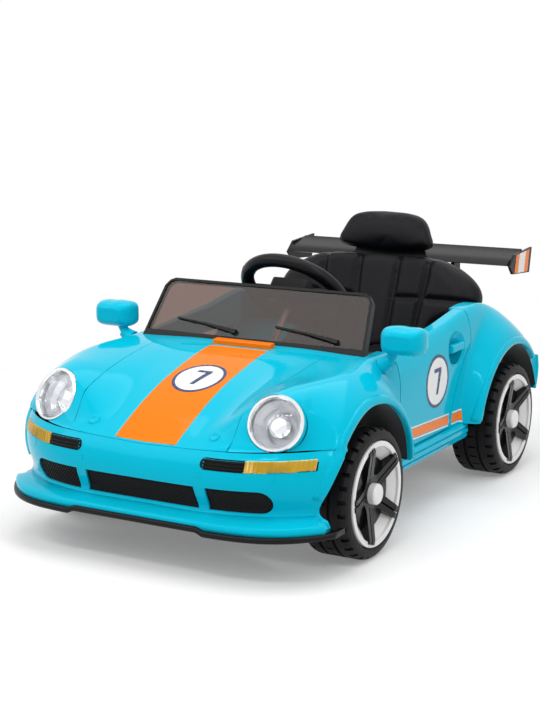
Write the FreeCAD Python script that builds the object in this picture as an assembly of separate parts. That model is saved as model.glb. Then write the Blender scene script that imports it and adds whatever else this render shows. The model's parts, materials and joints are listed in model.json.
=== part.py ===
import FreeCAD, Part
import math
import os

os.makedirs("parts", exist_ok=True)
V = FreeCAD.Vector

# Frame: +Z up, floor at z = 0, nose towards -Y, the car's left side on +X, millimetres.

# wheels and axles
WHEEL_R = 106.0
WHEEL_W = 88.0
RIM_R = 85.0
TRACK_HALF = 300.0
WHEELBASE = 580.0
FRONT_AXLE_Y = -270.0
REAR_AXLE_Y = FRONT_AXLE_Y + WHEELBASE
AXLE_R = 5.0
RUN_FIT = 0.08
TYRE_FIT = 0.2
SPOKES = 5
SPOKE_TURN = 126.0
STAR_DISC_R = 46.0
TREAD_BLOCKS = 30
CAP_R = 17.0

# body skin
ARCH_GAP = 37.0
ARCH_R = WHEEL_R + ARCH_GAP
NOSE_Y = -479.0
TAIL_Y = 500.0
NOSE_Z = 197.5
NOSE_RISE = 0.0265
TAIL_Z = 205.0
NOSE_BOW = 99.0
NOSE_HALF = 297.0
TAIL_BOW = 45.0
TAIL_HALF = 290.0
LAMP_RUN = 52.0
TAIL_RUN = 60.0
SIDE_X = 262.0
FLARE_X = 297.0
SHOULDER = 62.0
TUCK = 8.0
SKIRT_Z = 100.0
WALL = 3.5
SEAM = 0.8
DOOR_GAP = 2.0

# panel lines
BONNET_FRONT_X = 147.0
BONNET_REAR_X = 164.0
BONNET_REAR_Y = -188.0
COWL_REAR_Y = -146.0
COCKPIT_X = 217.0
DOOR_FRONT_Y = -108.0
DOOR_REAR_Y = 184.0
DOOR_REAR_R = 208.0
DOOR_BOTTOM_Z = 129.0
DOOR_INNER_X = 226.0
DOOR_RIM = 12.0
DECK_FRONT_Y = 392.0
DECK_X = 190.0
STRIPE_X = 57.0
STRIPE_T = 0.8

# bumpers, grilles and lamps
BUMPER_BOTTOM_Z = 88.0
GRILLE_TOP_Z = 147.0
GRILLE_BOTTOM_Z = 110.0
SIDE_GRILLE_X = 221.0
SLOT_LOW_Z = 177.0
SLOT_HIGH_Z = 190.5
SLOT_IN_X = 117.0
SLOT_SPLIT_X = 182.0
SLOT_OUT_X = 276.0
SEAT_FIT = 0.3
SLOT_FIT = 0.9
LAMP_R = 45.0
LAMP_POS = V(208.0, -429.0, 243.5)
LAMP_PITCH = 26.0
LAMP_YAW = 12.0
LIP_T = 14.0
REAR_BUMPER_LOW_Z = 138.0
LAMP_IN_X = 122.0
LAMP_OUT_X = 234.0
TAIL_LAMP_Z = 169.0
TAIL_LAMP_H = 21.0

# chassis
PLATE_X = 160.0
PLATE_T = 4.0
FRONT_PLATE_Z = 166.0
REAR_PLATE_Z = 176.0
FLOOR_Z = 84.0
FLOOR_X = 232.0
FLOOR_WALL_Z = 125.0
SILL_X = 267.0

# steering
KINGPIN_X = 196.0
KINGPIN_R = 5.0
ARM = 44.0
TIE_Z = 104.0
TIE_T = 5.0
COLUMN_ANGLE = 45.0
STEER_CENTRE = V(0.0, 1.0, 369.0)
STEER_R = 92.0
STEER_TUBE = 12.0
SHAFT_R = 6.0
CRANK = 25.9
CRANK_LIFT = 18.0
CRANK_PIN_R = 3.5
CRANK_SLACK = 0.8

# seat
SEAT_X = 146.0
CUSHION_FRONT_Y = 90.0
CUSHION_REAR_Y = 258.0
SEAT_PAN_Z = 180.0
SEAT_PAN_T = 8.0
CUSHION_H = 50.0
RECLINE = 17.0
BACK_T = 58.0
BACK_H = 208.0

# windscreen
SCREEN_FOOT = V(0.0, -159.0, 304.0)
SCREEN_LEAN = 33.8
SCREEN_H = 109.5
SCREEN_LOW_X = 219.5
SCREEN_HIGH_X = 205.5
SCREEN_BAR = 5.0
SCREEN_T = 13.0
PANE_T = 3.0

# rear wing
WING_X = 243.0
WING_FRONT_Y = 398.0
WING_Z = 381.0
WING_CHORD = 80.0
WING_TILT = 13.0
PLATE_THICK = 5.0

# smaller fittings
POST_X = 114.0
POST_Y = -465.0
POST_R = 7.0
HANDLE_Y = 122.0
HANDLE_Z = 272.0
DISH_R = 60.0
DISH_OUT = 48.0
BAR_H = 7.0
HINGE_X = 263.5
HINGE_Y = -104.0
HINGE_R = 2.5
LIP_Y = -515.0
LIP_HALF = 306.0
LIP_BOW = 120.0
LIP_STEP_X = 123.0
FLOOR_FRONT_Y = -116.0
FLOOR_REAR_Y = 156.0
RISER_Y = 190.0
DASH_X = 212.0
DASH_LOW_Z = 205.0
DASH_HIGH_Z = 297.0
SWITCH_X = 110.0
SWITCH_Z = 255.0
BUSH_AT = 285.0
PEDAL_X = -100.0
PEDAL_W = 60.0
PEDAL_Y = -92.0
PEDAL_Z = 100.0
BACK_X = 203.0
BACK_Y = 353.0
BACK_Z = 297.0
SEAM_IN_X = 36.0
SEAM_OUT_X = 98.0
PAD_POINTS = 24
HEAD_X = 98.0
HEAD_H = 80.0
HEAD_T = 46.0
MIRROR_Y = -153.0
MIRROR_IN_X = 248.0
MIRROR_OUT_X = 323.0
MIRROR_LOW_Z = 307.0
MIRROR_H = 47.0
MIRROR_D = 44.0


def save(name, *solids):
    """Write one node of one or more separate solids."""
    shape = solids[0] if len(solids) == 1 else Part.makeCompound(list(solids))
    shape.exportStep("parts/" + name + ".step")


def mirror(shape):
    """The same piece on the other side of the car."""
    return shape.mirror(V(0, 0, 0), V(1, 0, 0))


def box(x0, x1, y0, y1, z0, z1):
    """A block between two corners."""
    return Part.makeBox(x1 - x0, y1 - y0, z1 - z0, V(x0, y0, z0))


def rod(start, end, radius):
    """A round bar between two points."""
    return Part.makeCylinder(radius, (end - start).Length, start, end - start)


def across(radius, y, z, x0, x1):
    """A cylinder lying along X."""
    return Part.makeCylinder(radius, x1 - x0, V(x0, y, z), V(1, 0, 0))


def prism(points, way):
    """A closed flat outline pushed along a vector."""
    wire = Part.makePolygon([V(*p) for p in points] + [V(*points[0])])
    return Part.Face(wire).extrude(way)


def turned(points):
    """A closed (radius, height) outline turned about Z."""
    wire = Part.makePolygon([V(r, 0, h) for r, h in points] + [V(points[0][0], 0, points[0][1])])
    return Part.Face(wire).revolve(V(0, 0, 0), V(0, 0, 1), 360)


def placed(shape, origin, direction):
    """Stand a piece made along Z on a point, facing a direction."""
    moved = shape.copy()
    moved.Placement = FreeCAD.Placement(origin, FreeCAD.Rotation(V(0, 0, 1), direction))
    return moved


def smooth(t):
    """An S-shaped step from 0 to 1."""
    t = min(max(t, 0.0), 1.0)
    return t * t * (3.0 - 2.0 * t)


def spline(points):
    """A natural cubic curve through (t, value) points, as a function."""
    ts = [p[0] for p in points]
    vs = [p[1] for p in points]
    n = len(points)
    h = [ts[i + 1] - ts[i] for i in range(n - 1)]
    diag = [1.0] * n
    rhs = [0.0] * n
    upper = [0.0] * n
    for i in range(1, n - 1):
        slope = 6.0 * ((vs[i + 1] - vs[i]) / h[i] - (vs[i] - vs[i - 1]) / h[i - 1])
        diag[i] = 2.0 * (h[i - 1] + h[i]) - h[i - 1] * upper[i - 1]
        upper[i] = h[i] / diag[i]
        rhs[i] = (slope - h[i - 1] * rhs[i - 1]) / diag[i]
    curve = [0.0] * n
    for i in range(n - 2, 0, -1):
        curve[i] = rhs[i] - upper[i] * curve[i + 1]

    def value(t):
        i = 0
        while i < n - 2 and t > ts[i + 1]:
            i += 1
        a = (ts[i + 1] - t) / h[i]
        b = (t - ts[i]) / h[i]
        bend = ((a**3 - a) * curve[i] + (b**3 - b) * curve[i + 1]) * h[i] ** 2 / 6.0
        return a * vs[i] + b * vs[i + 1] + bend

    return value


# character lines of the body along the car, measured by eye on the real thing
CENTRE_Z = spline(
    [(-479, 197.5), (-437, 222), (-393, 244), (-335, 267), (-275, 284), (-216, 297), (-146, 304),
     (60, 316), (240, 328), (330, 318), (400, 296), (450, 264), (480, 233), (500, 205)]
)
CREST_Z = spline(
    [(-479, 262), (-420, 284), (-340, 292), (-280, 295), (-200, 299), (-77, 302), (2, 309), (84, 316),
     (138, 324), (190, 331), (242, 333), (310, 320), (377, 289), (432, 255), (470, 228), (500, 206)]
)
CREST_X = spline([(-479, 203), (-430, 208), (-300, 222), (-160, 233), (0, 240), (200, 243), (310, 240),
    (432, 228), (500, 212)])


BUMPER_Y = spline([(0.0, -509), (0.07, -502), (0.15, -488), (0.25, -485), (0.4, -492), (0.56, -497),
    (0.78, -495), (0.9, -489), (1.0, -480)])
REAR_BULGE = spline([(0.0, -6), (0.35, 3), (0.7, 5), (1.0, 0)])


def nose_z(x):
    """Height of the seam between the nose and the front bumper."""
    return NOSE_Z + NOSE_RISE * abs(x)


def flare(x, y, z):
    """How far the wheel arches push the side of the body out at a point."""
    push = 0.0
    for axle in (FRONT_AXLE_Y, REAR_AXLE_Y):
        d = math.hypot(y - axle, z - WHEEL_R)
        up = max(z - WHEEL_R, 0.0) / d
        inner = ARCH_R + 6.0
        reach = 17.0 + 53.0 * up * up
        push = max(push, smooth((inner + reach - d) / reach))
    return (FLARE_X - SIDE_X) * push


def skin(y0, v, depth=0.0):
    """A point of the body skin: v runs from the centre line (0) over the crest (1) to the skirt (2)."""
    if depth:
        e = 0.002
        a = skin(y0, v + e) - skin(y0, v - e)
        b = skin(y0 + 0.5, v) - skin(y0 - 0.5, v)
        n = a.cross(b)
        n.normalize()
        return skin(y0, v) + n * depth
    s = abs(v)
    face = smooth((y0 - NOSE_Y) / LAMP_RUN)
    tail = smooth((TAIL_Y - y0) / TAIL_RUN)
    xk = CREST_X(y0)
    zk = nose_z(xk) + (CREST_Z(y0) - nose_z(xk)) * face
    drop = 3.0 + (SHOULDER - 3.0) * min(face, tail)
    zs = zk - drop
    if s <= 1.0:
        x = xk * s
        zc = CENTRE_Z(y0) + (nose_z(x) - NOSE_Z) * (1.0 - face)
        z = zc + (zk - zc) * smooth((s - 0.4) / 0.6)
    elif s <= 1.5:
        x = xk + (SIDE_X - xk) * math.sin((s - 1.0) * math.pi)
        z = zs + drop * math.cos((s - 1.0) * math.pi)
    else:
        q = (s - 1.5) * 2.0
        x = SIDE_X - TUCK * q * q
        z = zs + (SKIRT_Z - zs) * q
    front = 1.0 - smooth((y0 - NOSE_Y) / 190.0)
    rear = smooth((y0 - TAIL_Y + 170.0) / 170.0)
    y = y0 + NOSE_BOW * (x / NOSE_HALF) ** 4 * front - TAIL_BOW * (x / TAIL_HALF) ** 4 * rear
    x += flare(x, y, z) * smooth((s - 0.6) / 0.4)
    return V(x if v >= 0 else -x, y, z)


def sheet(grid):
    """A smooth surface through a grid of points."""
    surface = Part.BSplineSurface()
    surface.interpolate(grid)
    return surface


def slab(outer, inner):
    """The solid between two grids of points of the same size."""
    top = sheet(outer)
    low = sheet(inner)
    ends = [s.bounds() for s in (top, low)]
    sides = []
    for k in range(2):
        a = top.uIso(ends[0][k]).toShape()
        b = low.uIso(ends[1][k]).toShape()
        sides.append(Part.makeRuledSurface(a, b))
    for k in range(2, 4):
        a = top.vIso(ends[0][k]).toShape()
        b = low.vIso(ends[1][k]).toShape()
        sides.append(Part.makeRuledSurface(a, b))
    hull = Part.makeShell([top.toShape(), low.toShape()] + sides)
    hull.sewShape()
    solid = Part.Solid(hull)
    if solid.Volume < 0:
        solid.reverse()
    return solid


def spread(a, b, n):
    """Evenly spaced values from a to b."""
    return [b - (b - a) * (1.0 - i / (n - 1)) for i in range(n)]


def panel(ys, low, high, nv, top=0.0, depth=-WALL):
    """A body panel between two v lines given as functions of the station."""
    outer = []
    inner = []
    for y in ys:
        row = spread(low(y), high(y), nv)
        outer.append([skin(y, v, top) for v in row])
        inner.append([skin(y, v, depth) for v in row])
    return slab(outer, inner)


def body_block(y0, y1, v0, v1, nv):
    """A thick block under the body skin, a fit's width proud of it, for trimming what stands on it."""
    return panel(spread(y0, y1, 15), lambda y: v0, lambda y: v1, nv, SEAT_FIT, -26.0)


def v_at(x):
    """The v line that keeps a given X on the top of the body."""
    return lambda y: x / CREST_X(y)


def bonnet_edge(y):
    """Half width of the bonnet at a station."""
    t = (y - NOSE_Y) / (BONNET_REAR_Y - NOSE_Y)
    return BONNET_FRONT_X + (BONNET_REAR_X - BONNET_FRONT_X) * t


def lamp_axis():
    """Direction the left headlight faces."""
    p = math.radians(LAMP_PITCH)
    w = math.radians(LAMP_YAW)
    return V(math.sin(w) * math.cos(p), -math.cos(w) * math.cos(p), math.sin(p))


def arch_tube(axle):
    """The wheel well behind an arch opening, left side."""
    outer = across(ARCH_R + WALL, axle, WHEEL_R, PLATE_X + SEAT_FIT, FLARE_X - 3.0)
    inner = across(ARCH_R, axle, WHEEL_R, 0, FLARE_X + 50)
    low = box(0, 400, axle - 300, axle + 300, -100, WHEEL_R)
    return outer.cut(inner).cut(low)


def fender():
    """Left front wing with its wheel well and lamp opening."""
    ys = spread(NOSE_Y, DOOR_FRONT_Y + 8.0, 62)
    side = panel(ys, lambda y: (bonnet_edge(y) + SEAM) / CREST_X(y), lambda y: 2.0, 40)
    well = arch_tube(FRONT_AXLE_Y)
    stations = spread(NOSE_Y + 25, DOOR_FRONT_Y - 9.0, 31)
    cover = sheet([[skin(y, v, -WALL / 2) for v in spread(0.97, 2.0, 24)] for y in stations])
    inside = cover.toShape().extrude(V(-200, 0, 0))
    side = side.fuse(well.common(inside))
    side = side.cut(across(ARCH_R, FRONT_AXLE_Y, WHEEL_R, 100, 400))
    side = side.cut(box(0, COCKPIT_X + SEAM / 2, BONNET_REAR_Y - SEAM / 2, 0, 270, 400))
    bumper_zone = prism(
        [(0, -600, -50), (450, -600, -50), (450, -600, nose_z(450) + SEAM), (0, -600, nose_z(0) + SEAM)],
        V(0, 600 + FRONT_AXLE_Y, 0)
    )
    side = side.cut(bumper_zone)
    low = box(0, 400, FRONT_AXLE_Y, 0, -50, DOOR_BOTTOM_Z - DOOR_GAP + SEAT_FIT)
    side = side.cut(box(0, 400, DOOR_FRONT_Y - DOOR_GAP, 0, -50, 400))
    hole = Part.makeCylinder(LAMP_R + SEAT_FIT, 110, LAMP_POS - lamp_axis() * 60, lamp_axis())
    return side.cut(low).cut(hole)


def bonnet():
    """Front lid with its two screw posts, in front of the cowl."""
    ys = spread(NOSE_Y + 0.5, BONNET_REAR_Y - SEAM, 22)
    lid = panel(ys, lambda y: -bonnet_edge(y) / CREST_X(y), lambda y: bonnet_edge(y) / CREST_X(y), 27)
    cover = sheet([[skin(y, v, -1.0) for v in spread(-0.7, 0.7, 15)] for y in spread(NOSE_Y + 4, -380, 10)])
    under = cover.toShape().extrude(V(0, 0, -200))
    for x in (-POST_X, POST_X):
        post = Part.makeCylinder(POST_R, 120, V(x, POST_Y, FRONT_PLATE_Z + PLATE_T))
        lid = lid.fuse(post.common(under))
    stripe_groove = stripe(STRIPE_X + 0.1, -STRIPE_T, 3.0)
    return lid.cut(stripe_groove)


def stripe(half, low, high):
    """The band along the middle of the bonnet between two depths."""
    ys = spread(NOSE_Y + 4.0, BONNET_REAR_Y - 6.0, 22)
    return panel(ys, lambda y: -half / CREST_X(y), lambda y: half / CREST_X(y), 9, high, low)


def cowl():
    """Panel between bonnet and windscreen with the raised end of the stripe."""
    ys = spread(BONNET_REAR_Y, COWL_REAR_Y, 7)
    edge = v_at(COCKPIT_X - SEAM / 2)
    return panel(ys, lambda y: -edge(y), edge, 27)


def quarter():
    """Left rear wing with its wheel well."""
    ys = spread(96.0, TAIL_Y, 64)
    side = panel(ys, v_at(DECK_X + SEAM / 2), lambda y: 2.0, 40)
    side = side.cut(box(0, COCKPIT_X, 0, DECK_FRONT_Y - SEAM, 150, 500))
    well = arch_tube(REAR_AXLE_Y)
    stations = spread(TAIL_Y - 25, 130.0, 34)
    cover = sheet([[skin(y, v, -WALL / 2) for v in spread(0.97, 2.0, 24)] for y in stations])
    inside = cover.toShape().extrude(V(-200, 0, 0))
    side = side.fuse(well.common(inside))
    side = side.cut(across(ARCH_R, REAR_AXLE_Y, WHEEL_R, 100, 400))
    ahead = box(0, 400, -200, DOOR_REAR_Y + DOOR_GAP, -50, 500)
    ahead = ahead.cut(across(DOOR_REAR_R - DOOR_GAP, REAR_AXLE_Y, WHEEL_R, 0, 400))
    side = side.cut(ahead)
    side = side.cut(box(0, 400, -200, REAR_AXLE_Y, -50, DOOR_BOTTOM_Z - DOOR_GAP + SEAT_FIT))
    return side.cut(box(0, 400, REAR_AXLE_Y, 700, -50, TAIL_Z + SEAM / 2))


def deck():
    """Sloping panel behind the seat."""
    ys = spread(DECK_FRONT_Y, TAIL_Y, 16)
    top = panel(ys, lambda y: -(DECK_X - SEAM / 2) / CREST_X(y), v_at(DECK_X - SEAM / 2), 23)
    return top.cut(box(-400, 400, REAR_AXLE_Y, 700, -50, TAIL_Z + SEAM / 2))


def door():
    """Left door: skin with a rim all round, a pull rail inside and its hinge boss."""
    ys = spread(DOOR_FRONT_Y - 4.0, DOOR_REAR_Y + 4.0, 34)
    outer = [[skin(y, v) for v in spread(1.02, 2.0, 30)] for y in ys]
    back = [[V(DOOR_INNER_X - 7.0, p.y, p.z) for p in row] for row in outer]
    block = slab(outer, back).common(door_outline(0.0))
    inner = [[skin(y, v, -WALL) for v in spread(1.02, 2.0, 30)] for y in ys]
    deep = [[V(DOOR_INNER_X - 12.0, p.y, p.z) for p in row] for row in inner]
    block = block.cut(slab(inner, deep).common(door_outline(DOOR_RIM)))
    dish = Part.makeSphere(DISH_R, V(SIDE_X + DISH_OUT, HANDLE_Y, HANDLE_Z))
    block = block.cut(dish)
    boss = Part.makeCylinder(HINGE_R + 3.0, 9.0, V(HINGE_X, HINGE_Y, DOOR_BOTTOM_Z))
    arm = box(DOOR_INNER_X + 12, HINGE_X, HINGE_Y - 3.0, HINGE_Y + 5.0, DOOR_BOTTOM_Z, DOOR_BOTTOM_Z + 9.0)
    pin = Part.makeCylinder(HINGE_R, 26.0, V(HINGE_X, HINGE_Y, DOOR_BOTTOM_Z - 20.0))
    return block.fuse(boss).fuse(arm).fuse(pin).removeSplitter()


def door_outline(inset):
    """The side view of the door, as a thick block."""
    r = DOOR_REAR_R + inset
    top = 500.0 if inset == 0.0 else 268.0
    blank = box(DOOR_INNER_X, 400, DOOR_FRONT_Y + inset, DOOR_REAR_Y - inset, DOOR_BOTTOM_Z + inset, top)
    well = across(r, REAR_AXLE_Y, WHEEL_R, 0, 500)
    return blank.cut(well.cut(box(0, 500, DOOR_REAR_Y - inset, 900, 0, 600)))


def handle():
    """Pull bar across the round dish of the door."""
    deep = SIDE_X - 6.0
    reach = math.sqrt(DISH_R**2 - (SIDE_X + DISH_OUT - deep) ** 2) - SEAT_FIT
    half = math.sqrt(reach**2 - BAR_H**2)
    bar = box(deep, SIDE_X + 4.0, HANDLE_Y - half, HANDLE_Y + half, HANDLE_Z - BAR_H, HANDLE_Z + BAR_H)
    return bar.makeFillet(3.0, [e for e in bar.Edges if e.BoundBox.XMin > SIDE_X])


def bumper_point(x, q, depth=0.0):
    """A point of the front bumper: q runs from its lower edge (0) to the seam (1)."""
    if depth:
        a = bumper_point(x + 0.5, q) - bumper_point(x - 0.5, q)
        b = bumper_point(x, min(q + 0.01, 1.0)) - bumper_point(x, max(q - 0.01, 0.0))
        n = a.cross(b)
        n.normalize()
        return bumper_point(x, q) + n * depth
    z = BUMPER_BOTTOM_Z + (nose_z(x) - BUMPER_BOTTOM_Z) * q
    return V(x, BUMPER_Y(q) + NOSE_BOW * (x / NOSE_HALF) ** 4, z)


def bumper_piece(xs, z0, z1, nq, top=0.0, depth=-WALL):
    """A piece of the bumper skin between two heights and two depths."""
    outer = []
    inner = []
    for x in xs:
        span = nose_z(x) - BUMPER_BOTTOM_Z
        qs = spread((z0 - BUMPER_BOTTOM_Z) / span, min((z1 - BUMPER_BOTTOM_Z) / span, 1.0), nq)
        outer.append([bumper_point(x, q, top) for q in qs])
        inner.append([bumper_point(x, q, depth) for q in qs])
    return slab(outer, inner)


def side_grille_outline():
    """Outline of the left side grille in the XZ plane."""
    top = GRILLE_TOP_Z
    low = GRILLE_BOTTOM_Z
    r = (top - low) / 2.0
    turn = spread(-math.pi / 2, math.pi / 2, 9)
    end = [(SIDE_GRILLE_X - r + r * math.cos(t), low + r + r * math.sin(t)) for t in turn]
    return [(120, top), (121, low)] + end


def through(points):
    """An XZ outline pushed along Y through the front bumper."""
    return prism([(x, -600, z) for x, z in points], V(0, 260, 0))


def front_bumper():
    """Wrap-round front bumper with its grille and lamp openings."""
    xs = spread(-NOSE_HALF - 4.0, NOSE_HALF + 4.0, 49)
    shell = bumper_piece(xs, BUMPER_BOTTOM_Z, 900, 18)
    shell = shell.cut(box(-400, 400, -700, 0, 0, BUMPER_BOTTOM_Z))
    centre = [(-101, GRILLE_TOP_Z), (-104, GRILLE_BOTTOM_Z), (104, GRILLE_BOTTOM_Z), (101, GRILLE_TOP_Z)]
    left = through(side_grille_outline())
    slot = box(SLOT_IN_X, SLOT_OUT_X, -600, -380, SLOT_LOW_Z, SLOT_HIGH_Z)
    for tool in (through(centre), left, mirror(left), slot, mirror(slot)):
        shell = shell.cut(tool)
    for x in (-1, 1):
        ends = sorted((x * 150, x * 400))
        shell = shell.cut(across(ARCH_R, FRONT_AXLE_Y, WHEEL_R, ends[0], ends[1]))
    return shell


def grilles():
    """Three mesh plates behind the openings and the two slatted vents beside the signal lenses."""
    deep = -WALL - SEAT_FIT
    plate_c = bumper_piece(spread(-108, 108, 13), GRILLE_BOTTOM_Z - 5, GRILLE_TOP_Z + 5, 9, deep,
        deep - 2.5)
    plate_s = bumper_piece(spread(112.5, 228, 13), GRILLE_BOTTOM_Z - 5, GRILLE_TOP_Z + 5, 9, deep,
        deep - 2.5)
    f = SEAT_FIT
    vent = bumper_piece(spread(SLOT_IN_X + f, SLOT_SPLIT_X - f, 9), SLOT_LOW_Z + SLOT_FIT,
        SLOT_HIGH_Z - SLOT_FIT, 7, -1.0, -4.0)
    for k in (1, 2):
        z = SLOT_LOW_Z + k * (SLOT_HIGH_Z - SLOT_LOW_Z) / 3.0
        groove = bumper_piece(spread(SLOT_IN_X + 4, SLOT_SPLIT_X - 4, 5), z - 1.2, z + 1.2, 5, 1.0, -3.5)
        vent = vent.cut(groove)
    return plate_c, plate_s, mirror(plate_s), vent, mirror(vent)


def signal_lens():
    """Ribbed amber lens that wraps round the corner of the bumper."""
    f = SEAT_FIT
    xs = spread(SLOT_SPLIT_X + f, SLOT_OUT_X - 1.5, 19)
    lens = bumper_piece(xs, SLOT_LOW_Z + SLOT_FIT, SLOT_HIGH_Z - SLOT_FIT, 7, 0.6, -4.5)
    for i in range(1, 9):
        x = SLOT_SPLIT_X + (SLOT_OUT_X - SLOT_SPLIT_X) * i / 9.0
        y = bumper_point(x, 0.85).y
        lens = lens.cut(Part.makeCylinder(1.2, 60, V(x, y - 0.6, SLOT_LOW_Z - 20)))
    return lens


def front_lip():
    """Black blade under the bumper with its stepped middle."""
    half = LIP_HALF

    def plan(x):
        return LIP_Y + LIP_BOW * (abs(x) / half) ** 5

    outer = [V(x, plan(x), 0) for x in spread(-half + 6, half - 6, 31)]
    curve = Part.BSplineCurve()
    curve.interpolate(outer)
    back_y = plan(half - 6)
    rear = [outer[-1], V(half - 14, back_y + 26, 0), V(-half + 14, back_y + 26, 0), outer[0]]
    wire = Part.Wire([curve.toShape()] + Part.makePolygon(rear).Edges)
    blade = Part.Face(wire).extrude(V(0, 0, LIP_T))
    top = BUMPER_BOTTOM_Z - SEAT_FIT
    blade.translate(V(0, 0, top - LIP_T))
    blade = blade.cut(box(-KINGPIN_X, KINGPIN_X, LIP_Y + 75, 0, 0, 200))
    step = box(-LIP_STEP_X, LIP_STEP_X, LIP_Y + 1.0, BUMPER_Y(0.0) - 0.8, top - 1.0, top + 5.0)
    blade = blade.fuse(step)
    for x in (-1, 1):
        ends = sorted((x * 150, x * 400))
        blade = blade.cut(across(ARCH_R - 6.0, FRONT_AXLE_Y, WHEEL_R, ends[0], ends[1]))
    return blade


def headlight():
    """Left headlight: bezel ring, bowl, projector and domed lens."""
    r = LAMP_R
    bezel = turned([(r - 6.5, -14), (r - 6.5, 0), (r - 4.5, 3), (r - 1.5, 3), (r, 0.5), (r, -14)])
    bowl = turned(
        [(0, -46), (12, -46), (26, -38), (36, -25), (r - 4, -14.0 - SEAT_FIT), (r - 1, -14.0 - SEAT_FIT),
        (38, -28),
         (28, -41), (13, -49), (0, -49)]
    )
    barrel = turned([(0, -46 + SEAT_FIT), (11, -46 + SEAT_FIT), (11, -32), (17, -30), (17, -24), (12, -20),
        (0, -18)])
    dome = []
    shell = []
    rim = r - 6.5 - SEAT_FIT
    for i in range(9):
        a = i / 8.0
        dome.append((rim * (1.0 - a), 8.0 * (1.0 - (1.0 - a) ** 2)))
        shell.append((rim * a, 8.0 * (1.0 - a * a) - 2.4))
    lens = turned(dome + shell)
    way = lamp_axis()
    return [placed(s, LAMP_POS, way) for s in (bezel, bowl, barrel, lens)]


def rear_bumper():
    """Wrap-round rear bumper below the tail."""
    outer = []
    inner = []
    for x in spread(-TAIL_HALF, TAIL_HALF, 41):
        y = TAIL_Y - TAIL_BOW * (x / TAIL_HALF) ** 4
        rise = TAIL_Z - SEAM / 2 - REAR_BUMPER_LOW_Z
        outer.append([V(x, y + REAR_BULGE(q), REAR_BUMPER_LOW_Z + rise * q) for q in spread(0, 1, 9)])
        inner.append([p + V(-WALL * (x / TAIL_HALF) ** 3, -WALL, 0) for p in outer[-1]])
    shell = slab(outer, inner)
    for x in (-1, 1):
        ends = sorted((x * 150, x * 400))
        shell = shell.cut(across(ARCH_R, REAR_AXLE_Y, WHEEL_R, ends[0], ends[1]))
        a, b = sorted((x * LAMP_IN_X, x * LAMP_OUT_X))
        shell = shell.cut(box(a, b, REAR_AXLE_Y, 700, TAIL_LAMP_Z, TAIL_LAMP_Z + TAIL_LAMP_H))
    return shell


def tail_lamp():
    """Left rear lamp in the bumper."""
    outer = []
    inner = []
    for x in spread(LAMP_IN_X + SEAT_FIT, LAMP_OUT_X - SEAT_FIT, 13):
        y = TAIL_Y - TAIL_BOW * (x / TAIL_HALF) ** 4 + 4.5
        zs = spread(TAIL_LAMP_Z + SEAT_FIT, TAIL_LAMP_Z + TAIL_LAMP_H - SEAT_FIT, 5)
        outer.append([V(x, y, z) for z in zs])
        inner.append([V(x, y - 8.0, z) for z in zs])
    return slab(outer, inner)


def sill():
    """Left side sill with two long grooves, under the door."""
    y0 = FRONT_AXLE_Y + math.sqrt(ARCH_R**2 - (WHEEL_R - SKIRT_Z) ** 2) + SEAT_FIT
    y1 = REAR_AXLE_Y - math.sqrt(ARCH_R**2 - (WHEEL_R - SKIRT_Z) ** 2) - SEAT_FIT
    x0 = FLOOR_X + SEAT_FIT
    top = DOOR_BOTTOM_Z - DOOR_GAP
    section = [
        (x0, 95), (SILL_X - 8, 95), (SILL_X - 3, 99), (SILL_X - 1, 105), (SILL_X - 4, 107), (SILL_X, 109),
        (SILL_X, 116),
        (SILL_X - 3, 118), (SILL_X, 120), (SILL_X - 2, top - 2), (SILL_X - 4, top), (x0, top),
    ]
    bar = prism([(x, y0, z) for x, z in section], V(0, y1 - y0, 0))
    for y in (FRONT_AXLE_Y, REAR_AXLE_Y):
        bar = bar.cut(across(ARCH_R, y, WHEEL_R, 150, 400))
    bore = Part.makeCylinder(HINGE_R + RUN_FIT, 30, V(HINGE_X, HINGE_Y, top - 25))
    return bar.cut(bore)


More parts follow.
